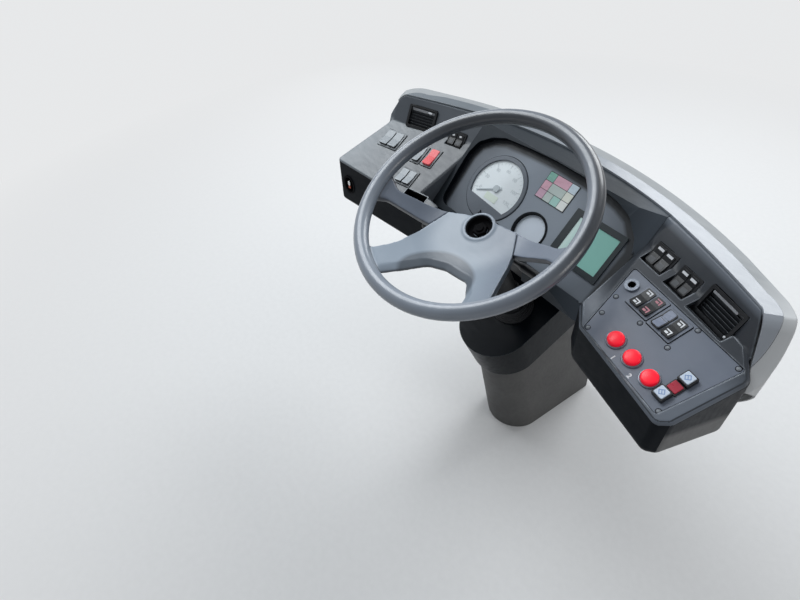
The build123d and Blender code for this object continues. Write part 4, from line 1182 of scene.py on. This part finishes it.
def cap_region(plane, whole):
    """0 for what is black, which on a grey cap's sides is painted shade, 1 for the cap's colour, 2 for the top of
    the frame.
    """
    up = plane.to_3x3() @ Vector((0, 0, 1))

    def region(centre, normal):
        if height_over(plane, centre) > CAP_TOP:
            return 1 if whole or normal.dot(up) > 0.45 else 0
        return 2 if normal.dot(up) > 0.9 else 0

    return region


#  name, plane, u, v, width, height, rockers, cap finish, frame finish
SWITCHES = [
    ("ledge_rockers_rear", LEDGE, 47, -40, 56, 50, 2, switch_grey, ledge_grey),
    ("ledge_rocker_dark", LEDGE, 138, -48, 27, 50, 1, switch_grey, ledge_grey),
    ("hazard_rocker", LEDGE, 170, -45, 30, 52, 1, alarm_red, ledge_grey),
    ("ledge_rockers_front", LEDGE, 150, -114, 48, 44, 2, switch_grey, ledge_grey),
    ("riser_rockers_left", RISER["riser_rockers_left"], 0, 0, 44, 34, 2, switch_black, switch_black),
    ("riser_rockers_a", RISER["riser_rockers_a"], 0, 0, 48, 40, 2, switch_black, switch_black),
    ("riser_rockers_b", RISER["riser_rockers_b"], 0, 0, 44, 40, 2, switch_black, switch_black),
    ("pod_rockers_a", POD_TOP, 25, 103, 49, 47, 2, switch_black, plate_grey),
    ("pod_rockers_b", POD_TOP, 76, 101, 49, 46, 2, switch_black, plate_grey),
]
CAP_SHARP = 25
for name, plane, u, v, w, h, count, cap, frame_finish in SWITCHES:
    region = cap_region(plane, cap is alarm_red)
    dressed(name, "switch_black", [switch_black, cap, frame_finish], region, CAP_SHARP)
print(sum(row[6] for row in SWITCHES), "rockers in", len(SWITCHES), "sets")


# %% Printed marks on the caps
CAP_MIDDLE = 0.1
CAP_HEIGHTS = (7.5, 3.4, 4.2)
FRAME_EDGE = 6.0
CAP_EDGE = 8.0
MARK_T = 0.25
SETS = {row[0]: row[1:7] for row in SWITCHES}


def cap_slope(half, v):
    """Height and slope of a cap's top at a distance v above its middle."""
    low, middle, top = CAP_HEIGHTS
    bend = half * CAP_MIDDLE
    lean = (top - middle) / (half - bend) if v > bend else (middle - low) / (half + bend)
    return middle + lean * (v - bend), lean


#  each bar of a sign: its place and its size, as shares of the mark's width and height
BLOCK = [(0, 0, 1, 1)]
SIGN = [(0, 0.38, 0.9, 0.22), (0.36, -0.05, 0.2, 0.8), (-0.12, -0.18, 0.5, 0.4)]


def cap_marks(name, switch, keys, v, w, h, ink, bars):
    """One mark on each listed key of a set, at a height v of its cap, from -1 to 1."""
    plane, u0, v0, width, height, count = SETS[switch]
    half = (height - CAP_EDGE) / 2
    pitch = (width - FRAME_EDGE) / count
    rise, lean = cap_slope(half, v * half)
    mark = bmesh.new()
    for x, y, wide, high in bars:
        corner = min(w * wide, h * high) * 0.2
        outline = rounded_outline(w * wide, h * high, corner)
        pad(mark, outline, -1.0, MARK_T + lean * y * h, 0.08, (x * w, y * h), lean=lean)
    places = [(u0 + (k - (count - 1) / 2) * pitch, v0 + v * half, rise, 0) for k in keys]
    stamp(name, mark, places, plane, "key_white", ink)


#  name, set, keys, place up the cap, width, height, finish, bars
MARKS = [
    ("marks_riser_a", "riser_rockers_a", (0, 1), 0.72, 13, 4.4, mark_white, BLOCK),
    ("marks_riser_a_low", "riser_rockers_a", (0, 1), -0.58, 12, 9.0, mark_grey, BLOCK),
    ("marks_riser_b", "riser_rockers_b", (0, 1), 0.72, 12, 4.4, mark_white, BLOCK),
    ("marks_riser_b_low", "riser_rockers_b", (0, 1), -0.58, 11, 9.0, mark_grey, BLOCK),
    ("marks_riser_left", "riser_rockers_left", (0, 1), 0.6, 6, 4.0, mark_white, BLOCK),
    ("marks_riser_left_low", "riser_rockers_left", (0, 1), -0.5, 10, 8.0, mark_grey, BLOCK),
    ("marks_pod_a_top", "pod_rockers_a", (0,), 0.66, 12, 8, mark_white, SIGN),
    ("marks_pod_a_low", "pod_rockers_a", (0,), -0.62, 12, 10, mark_white, SIGN),
    ("marks_pod_pink_top", "pod_rockers_a", (1,), 0.62, 12, 9, mark_pink, SIGN),
    ("marks_pod_pink_low", "pod_rockers_a", (1,), -0.62, 12, 10, mark_pink, SIGN),
    ("lens_pod_top", "pod_rockers_b", (0,), 0.55, 14, 16, switch_blue, BLOCK),
    ("lens_pod_low", "pod_rockers_b", (0,), -0.42, 14, 20, switch_blue, BLOCK),
    ("marks_pod_b_top", "pod_rockers_b", (1,), 0.62, 12, 9, mark_white, SIGN),
    ("marks_pod_b_low", "pod_rockers_b", (1,), -0.62, 12, 10, mark_white, SIGN),
]
for row in MARKS:
    cap_marks(*row)
print(len(MARKS), "pieces with marks")

# %% [markdown]
# ## The empty switch place
# One rocker is missing from the tongue of the left ledge, and the cut-out is open. On the real dash
# one looks into the dark of the moulding, so a small closed tray makes that dark and hides the
# floor below. A thin frame edges the cut.

# %% Tray under the empty place
EMPTY = (202.0, -147.0, 58.0, 22.0)
TRAY_GAP = 0.4
TRAY_WALL = 1.2
TRAY_DEEP = 26.0
TRAY_TOP = -0.6


def outline_loops(bm, w, h, r, steps):
    """Loops of a rounded outline, each grown by a width and set at a height."""
    loops = []
    for grow, z in steps:
        outline = rounded_outline(w + 2 * grow, h + 2 * grow, r + grow)
        loops.append([bm.verts.new((x, y, z)) for x, y in outline])
    return loops


def walls(bm, pairs):
    for a, b in pairs:
        for k in range(len(a)):
            n = (k + 1) % len(a)
            bm.faces.new((a[k], a[n], b[n], b[k]))


def flat_frame(w, h, r, width, high):
    """A thin raised frame round an outline of w by h."""
    bm = bmesh.new()
    loops = outline_loops(bm, w, h, r, ((0, -0.2), (0, high), (width, high), (width, -0.2)))
    walls(bm, zip(loops, loops[1:] + loops[:1]))
    return bm


empty_at = spot(LEDGE, EMPTY[0], EMPTY[1])
tray = bmesh.new()
outer, inner = -TRAY_GAP, -TRAY_GAP - TRAY_WALL
loops = []
for grow, z in ((outer, TRAY_TOP), (outer, -TRAY_DEEP), (inner, TRAY_WALL - TRAY_DEEP), (inner, TRAY_TOP)):
    loops += outline_loops(tray, EMPTY[2] + 2 * grow, EMPTY[3] + 2 * grow, 1.0, [(0, z)])
tray.faces.new(loops[1])
tray.faces.new(loops[2])
walls(tray, ((loops[0], loops[1]), (loops[2], loops[3]), (loops[3], loops[0])))
piece("empty_switch_tray", tray, empty_at, "switch_black", [shade_and_groove_black])
empty_frame = flat_frame(EMPTY[2], EMPTY[3], 1, 1.4, 0.5)
piece("empty_switch_frame", empty_frame, empty_at, "switch_grey", [switch_grey])
print("tray", TRAY_DEEP, "mm deep")

# %% Grooves round the switch sets
GROOVE_W = 0.9
GROOVE_H = 0.12
for name, plane, u, v, w, h, *rest in SWITCHES:
    groove = flat_frame(w + 0.2, h + 0.2, 2, GROOVE_W, GROOVE_H)
    piece(name + "_groove", groove, spot(plane, u, v), "switch_black", [shade_and_groove_black])
print(len(SWITCHES), "grooves")

# %% [markdown]
# ## Push buttons and keys
# The stop buttons are red domes in grey rings, and the keys are square caps on black cubes. The
# domes are turned, because their highlight shows every flat.

# %% Red buttons
PUSH = [("push_button_a", 50, 24), ("push_button_b", 90, 22), ("push_button_c", 131, 20)]
BUTTON_PROFILE = [
    (0, -23), (12.2, -23), (12.2, 0.1), (16.4, 0.1), (16.4, 1.8), (15.8, 2.8), (14.6, 3.1), (13.6, 2.4),
    (13.2, 2.4), (13.2, 6.6), (12.9, 7.8), (12.0, 8.9), (10.4, 9.5), (6.0, 10.1), (0, 10.4),
]
BUTTON_FINISH = [0] * 8 + [1] * 6
for name, u, v in PUSH:
    bm = bmesh.new()
    lathe(bm, BUTTON_PROFILE, finish_of=BUTTON_FINISH)
    piece(name + "_dome", bm, spot(POD_TOP, u, v), "red_plastic", [ring_grey, button_red], [name])
print(len(PUSH), "buttons")

# %% Square keys
#  name, u, v, height, finish
KEYS = [
    ("key_light_a", 160, 17, 10.5, key_pale),
    ("key_red", 162, 38, 4.5, key_red),
    ("key_light_b", 163, 59, 10.5, key_pale),
]
KEY_W = 21.0
KEY_STEM = KEY_W - 6
KEY_CAP = KEY_W - 4.6
KEY_ROUND = 1.8
for name, u, v, top, cap in KEYS:
    bm = bmesh.new()
    pad(bm, rounded_outline(KEY_STEM, KEY_STEM, 1), -19, 1, 0.2)
    pad(bm, rounded_outline(KEY_W, KEY_W, KEY_ROUND), 0.1, top - 2.0, 0.8)
    pad(bm, rounded_outline(KEY_CAP, KEY_CAP, KEY_ROUND), top - 3, top, 0.7, finish=1)
    piece(name + "_cap", bm, spot(POD_TOP, u, v), "key_white", [switch_black, cap], [name])
print(len(KEYS), "keys")

# %% Marks on the keys
#  each bar of the sign: its place, width and height
KEY_SIGN = [
    ((0, 3.4), 9, 1.3), ((0, -3.4), 9, 1.3),
    ((-3.8, 0), 1.3, 5.5), ((3.8, 0), 1.3, 5.5), ((0, 0), 1.3, 5.5),
]
key_mark = bmesh.new()
for at, w, h in KEY_SIGN:
    pad(key_mark, rounded_outline(w, h, 0.4), 0, 0.15, 0.05, at)
pale_keys = [(u, v, top, 45) for name, u, v, top, cap in KEYS if cap is key_pale]
stamp("key_marks", key_mark, pale_keys, POD_TOP, "key_white", mark_blue)
print("signs on", len(pale_keys), "keys")

# %% [markdown]
# ## Screws of the pod plate
# Eight small cross-head screws hold the plate. One screw is drawn once and a tree sets the copies,
# each with its own turn, because no one lines up the slots.

# %% Screws
#  u, v, height, turn
SCREWS = [
    (-16, 75, 0, 20), (-5, 39, 0, 50), (4, 5, 0, 75), (47, 71, 0, 10),
    (105, 73, 0, 35), (108, 125, 0, 60), (187, 123, 0, 5), (177, -3, 0, 80),
]
SCREW = [(0, -1.5), (3.7, -1.5), (3.7, 0.2), (3.3, 0.7), (2.2, 1.1), (0, 1.2)]
# The thin black ring round each head is painted shade at the head's edge.
SCREW_SHADE_RING = [(3.75, 0.02), (4.7, 0.02), (4.7, 0.14), (3.75, 0.14), (3.75, 0.02)]
CROSS_BAR = (4.4, 1.1, 0.5)
CROSS_AT = (0, 0, 1.15)
screw_grey = finish("screw_grey", (0.15, 0.165, 0.19), 0.38, depth=0.01, edge=0.3, rub_and_highlight_colour=(0.4, 0.42, 0.45))
cross = bmesh.new()
for turn in (0, 90):
    bar = bmesh.ops.create_cube(cross, size=1.0)["verts"]
    bmesh.ops.scale(cross, vec=CROSS_BAR, verts=bar)
    bmesh.ops.translate(cross, vec=CROSS_AT, verts=bar)
    bmesh.ops.rotate(cross, cent=(0, 0, 0), matrix=Matrix.Rotation(math.radians(turn), 3, "Z"), verts=bar)
stamp("plate_screws", lathe(bmesh.new(), SCREW, 20), SCREWS, POD_TOP, "steel_bare", screw_grey)
stamp("plate_screw_crosses", cross, SCREWS, POD_TOP, "switch_black", switch_grey)
stamp("plate_screw_seats", lathe(bmesh.new(), SCREW_SHADE_RING, 24), SCREWS, POD_TOP, "switch_black", shade_and_groove_black)
print(len(SCREWS), "screws")

# %% Socket and front toggle
SOCKET_AT = (-17.0, 107.0)
SOCKET_WELL = [(0, -14), (6.1, -14), (6.1, 3.4), (5.2, 3.4), (5.2, -13), (0, -13)]
TOGGLE = panel((-432.5, -8.1, -175), math.degrees(math.atan2(50, 312)), 90)
dressed("pod_socket", "switch_black", [ring_grey])
turned_piece("socket_well", [(SOCKET_WELL, 32)], spot(POD_TOP, *SOCKET_AT), "switch_black", [shade_and_groove_black])
dressed("front_toggle", "switch_black", [shade_and_groove_black])
handle = pad(bmesh.new(), rounded_outline(7.5, 13, 3.4), -1.2, 1.2, 0.9, (0, 4))
piece("toggle_handle", handle, TOGGLE, "steel_bare", [chrome])
toggle_lens = pad(bmesh.new(), rounded_outline(7.5, 6.5, 1.5), -1.2, 0.6, 0.5, (0, -7))
piece("toggle_lens", toggle_lens, TOGGLE, "red_plastic", [orange])
print("socket and toggle made")

# %% [markdown]
# ## Air vents
# Both vents are louvred grilles in black frames. The solids carry frame, slats and tab, so the
# copies only need finishes: the tab of the left one is small and bright, and the right one has a
# wide metal bar. The slats are dark, and their edges catch the light.

# %% Vents
slat_light = finish("slat_grey", (0.024, 0.027, 0.032), 0.4, rub_and_highlight_colour=(0.26, 0.28, 0.30), rub_and_highlight_share=0.8, edge=0.5)
bar_metal = finish("vent_bar", (0.30, 0.31, 0.33), 0.32, metal=0.4, edge=0.5)
VENT_W = 76.0
VENT_H = 50.0
VENT_EDGE = 6.0
BAR_V = 17.0
BAR_HALF = 2.3
SLAT_DEPTH = -18.0
#  name, bar's u, bar's width, bar finish
VENTS = [("vent_left", 20, 10, mark_white), ("vent_right", -4, 52, bar_metal)]


def vent_region(plane, bar_u, bar_w):
    """0 the frame, 1 the bar, 2 the slats, 3 the dark behind them."""
    def region(centre, normal):
        at = (plane.inverted() @ centre) / MM
        if abs(at.y - BAR_V) < BAR_HALF and abs(at.x - bar_u) < bar_w / 2 + 0.5 and at.z > -7:
            return 1
        if at.z < SLAT_DEPTH:
            return 3
        if abs(at.x) < VENT_W / 2 - VENT_EDGE and abs(at.y) < VENT_H / 2 - VENT_EDGE and at.z < 1:
            return 2
        return 0

    return region


for name, bar_u, bar_w, bar in VENTS:
    region = vent_region(RISER[name], bar_u, bar_w)
    dressed(name, "switch_black", [switch_black, bar, slat_light, shade_and_groove_black], region)
    edge_frame = flat_frame(VENT_W + 0.2, VENT_H + 0.2, 3, 1.1, 0.3)
    piece(name + "_groove", edge_frame, RISER[name], "switch_black", [shade_and_groove_black])
DOT = [(0, 2.6), (2.0, 2.6), (2.0, 3.4), (1.4, 3.8), (0, 3.9)]
turned_piece("vent_right_dot", [(DOT, 20)], spot(RISER["vent_right"], 32, -20), "key_white", [mark_white])
print(len(VENTS), "vents")

# %% [markdown]
# ## Instruments
# The speedometer's face is a white disc cut by a chord, with pale figures, a cream odometer window
# and a needle. The figures are generic: 0 to 120 in steps of 20. Text is turned to a mesh before it
# is put in place.

# %% Dials
SPEEDO = (-107.4, 54.5)
GAUGE = (17.0, 21.0)
GAUGE_FLOOR = -5.5
SPEEDO_GROOVE = [(71.6, 0.02), (72.8, 0.02), (72.8, 0.25), (71.6, 0.25), (71.6, 0.02)]
KNOB = [(0, 2.4), (4.0, 2.4), (4.0, 5.6), (3.4, 6.8), (0, 7.0)]
KNOB_BELOW = 58.0


# All of the gauge but its face takes the near-black finish, which on the recess wall is painted shade.
def gauge_region(centre, normal):
    return 1 if height_over(CLUSTER, centre) < GAUGE_FLOOR and normal.z > 0.5 else 0


dressed("speedometer", "dash_plastic", [bezel_grey])
dressed("speedo_face", "dial_white", [dial_white])
dressed("speedo_needle", "dial_white", [needle_grey])
dressed("small_gauge", "dial_white", [underside, gauge_blue], gauge_region)
turned_piece("speedo_groove", [(SPEEDO_GROOVE, 120)], spot(CLUSTER, *SPEEDO), "switch_black", [shade_and_groove_black])
knob_at = spot(CLUSTER, SPEEDO[0], SPEEDO[1] - KNOB_BELOW)
turned_piece("speedo_knob", [(KNOB, 28)], knob_at, "switch_black", [switch_black])
print("speedometer at", SPEEDO, "and gauge at", GAUGE, "mm on the panel")

# %% Ticks
DIAL = spot(CLUSTER, *SPEEDO, -1.8)
GAUGE_PLANE = spot(CLUSTER, *GAUGE, -5.8)
TICK_H = 0.3
#  name, plane, radius, count, start, sweep, length, width
TICK_ROWS = [
    ("speedo_ticks", DIAL, 55, 25, -20, 220, 5.0, 0.9),
    ("speedo_ticks_long", DIAL, 53, 7, -20, 220, 9.0, 1.6),
    ("gauge_ticks", GAUGE_PLANE, 29, 13, 200, -220, 4.0, 0.9),
]
for name, plane, radius, count, start, sweep, long, wide in TICK_ROWS:
    values = {"Radius": radius, "Count": count, "Start": math.radians(start), "Sweep": math.radians(sweep),
              "Size": (long, wide, TICK_H), "Material": dial_ink}
    mesh = grown(TICKS, values)
    mesh.transform(plane @ Matrix.Scale(MM, 4))
    show(name, mesh, "dashboard", "dial_white", weighted=False)
print(len(TICK_ROWS), "rows of ticks")

# %% Figures
FIGURE_H = 0.12


def figures(name, words, plane, finish, size, bold=0.0):
    """words: (text, u, v) on a plane in mm, as one piece."""
    bm = bmesh.new()
    for text, u, v in words:
        curve = bpy.data.curves.new("figure", "FONT")
        curve.body = text
        curve.size = size
        curve.extrude = FIGURE_H
        curve.offset = bold
        curve.align_x = "CENTER"
        curve.align_y = "CENTER"
        mesh = result_of(curve)
        mesh.transform(Matrix.Translation((u, v, FIGURE_H)))
        bm.from_mesh(mesh)
    return piece(name, bm, plane, "dial_white", [finish])


FIGURE_SIZE = 11.0
FIGURE_R = 42.0
FIGURE_COUNT = 7
DIAL_START = 200.0
DIAL_SWEEP = 220.0
words = []
for k in range(FIGURE_COUNT):
    a = math.radians(DIAL_START - DIAL_SWEEP * k / (FIGURE_COUNT - 1))
    words.append((str(20 * k), FIGURE_R * math.cos(a), FIGURE_R * math.sin(a)))
figures("speedo_figures", words, DIAL, dial_ink, FIGURE_SIZE)
window = pad(bmesh.new(), rounded_outline(34, 15, 1.5), 0, 0.5, 0.2)
piece("odometer_window", window, spot(DIAL, 0, -21), "dial_white", [cream])
figures("button_figures", [("1", 71, 1.4), ("2", 110, 0.4)], POD_TOP, mark_white, FIGURE_SIZE, 0.5)
print("figures:", [word for word, u, v in words])

# %% [markdown]
# ## Warning lamps and display
# The lamp block is a four by three set of tinted tiles with hair gaps. Unlit, they are pale pinks,
# greens and greys. The display is a dark bezel with a green-grey glass.

# %% Lamp tiles
TINTS = {
    "green": (0.17, 0.36, 0.30), "pink": (0.52, 0.30, 0.37), "blue": (0.42, 0.50, 0.56),
    "grey": (0.36, 0.42, 0.40), "cream": (0.54, 0.56, 0.50), "rose": (0.44, 0.28, 0.36),
    "teal": (0.26, 0.44, 0.40), "white": (0.58, 0.60, 0.58),
}
TINT_LIFT = 1.4
tint_finish = {}
for name, tint in TINTS.items():
    lifted = tuple(TINT_LIFT * c for c in tint)
    tint_finish[name] = finish("lamp_" + name, lifted, 0.3, depth=0.004, mottle=0.15, coat=0.4, edge=0.3)
#  column, row from the top, columns wide, tint
TILES = [
    (0, 0, 1, "green"), (1, 0, 2, "pink"), (3, 0, 1, "blue"),
    (0, 1, 1, "pink"), (1, 1, 2, "grey"), (3, 1, 1, "cream"),
    (0, 2, 1, "rose"), (1, 2, 1, "grey"), (2, 2, 1, "teal"), (3, 2, 1, "white"),
]
MATRIX = (17.0, 113.0, 75.0, 57.0)
MATRIX_EDGE = 1.6
TILE_GAP = 0.9
matrix_w = MATRIX[2] - MATRIX_EDGE
matrix_h = MATRIX[3] - MATRIX_EDGE
tile_w = matrix_w / 4
tile_h = matrix_h / 3
tiles = bmesh.new()
tint_names = list(TINTS)
for column, row, wide, tint in TILES:
    u = -matrix_w / 2 + tile_w * (column + wide / 2)
    v = matrix_h / 2 - tile_h * (row + 0.5)
    outline = rounded_outline(tile_w * wide - TILE_GAP, tile_h - TILE_GAP, 0.6)
    pad(tiles, outline, 1.0, 1.9, 0.3, (u, v), tint_names.index(tint))
tile_finishes = [tint_finish[tint] for tint in tint_names]
piece("lamp_tiles", tiles, spot(CLUSTER, MATRIX[0], MATRIX[1]), "lamp_tiles", tile_finishes)
dressed_plain([
    ("lamp_matrix", "switch_black", switch_black),
    ("display_frame", "switch_black", display_black),
    ("display_screen", "lcd_green", lcd_green),
])
print("instruments made")

# %% [markdown]
# ## The floor
# A plain pale floor carries the shadow of the foot. It is stage, and not part of the dashboard.

# %% Floor
FLOOR_HALF = 40.0
FLOOR_DROP = 0.0005
FLOOR_SEEN = 0.66
FLOOR_GRAIN = 0.01
FLOOR_SPECKS = 60.0
FLOOR_BOUNCE = 0.22
FLOOR_ROUGH = 0.85
FAR_START = 0.9
FAR_END = 2.6
FAR_COLOUR = (0.80, 0.81, 0.82, 1)
floor = bmesh.new()
bmesh.ops.create_grid(floor, x_segments=1, y_segments=1, size=FLOOR_HALF)
floor_mesh = bpy.data.meshes.new("floor")
floor.to_mesh(floor_mesh)
floor.free()
floor_object = bpy.data.objects.new("floor", floor_mesh)
floor_object.location = (0, 0, cad_low.z - FLOOR_DROP)
bpy.context.scene.collection.objects.link(floor_object)

floor_paint = bpy.data.materials.new("pale_floor")
floor_paint.use_nodes = True
tree = floor_paint.node_tree
shader = tree.nodes["Principled BSDF"]
rays = tree.nodes.new("ShaderNodeLightPath")
coords = place_in(tree)
seen_direct = maths(tree, "MAXIMUM", rays.outputs["Is Camera Ray"], rays.outputs["Is Glossy Ray"])
specks = noise(tree, coords, FLOOR_SPECKS)
grain = remap(tree, specks, 0.3, 0.7, FLOOR_SEEN - FLOOR_GRAIN, FLOOR_SEEN + FLOOR_GRAIN)
level = node(tree, "Mix")
wire(tree, seen_direct, level.inputs["Factor"])
level.inputs["A"].default_value = FLOOR_BOUNCE
wire(tree, grain, level.inputs["B"])
colour = node(tree, "CombineColor")
for channel in ("Red", "Green", "Blue"):
    wire(tree, level.outputs["Result"], colour.inputs[channel])
wire(tree, colour.outputs["Color"], shader.inputs["Base Color"])
shader.inputs["Roughness"].default_value = FLOOR_ROUGH
glow = tree.nodes.new("ShaderNodeEmission")
glow.inputs["Color"].default_value = FAR_COLOUR
far_floor = tree.nodes.new("ShaderNodeMixShader")
far_share = remap(tree, vectors(tree, "LENGTH", coords), FAR_START, FAR_END, 0, 1)
wire(tree, maths(tree, "MULTIPLY", far_share, seen_direct), far_floor.inputs["Fac"])
wire(tree, shader.outputs["BSDF"], far_floor.inputs[1])
wire(tree, glow.outputs["Emission"], far_floor.inputs[2])
wire(tree, far_floor.outputs["Shader"], tree.nodes["Material Output"].inputs["Surface"])
floor_mesh.materials.append(floor_paint)
floor_object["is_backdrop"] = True
print("floor at", round(floor_object.location.z, 4))

# %% Print the sizes at the end
low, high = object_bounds()
print("room below", [round((b - a) / MM, 2) for a, b in zip(cad_low, low)], "mm")
print("room above", [round((b - a) / MM, 2) for a, b in zip(high, cad_high)], "mm")
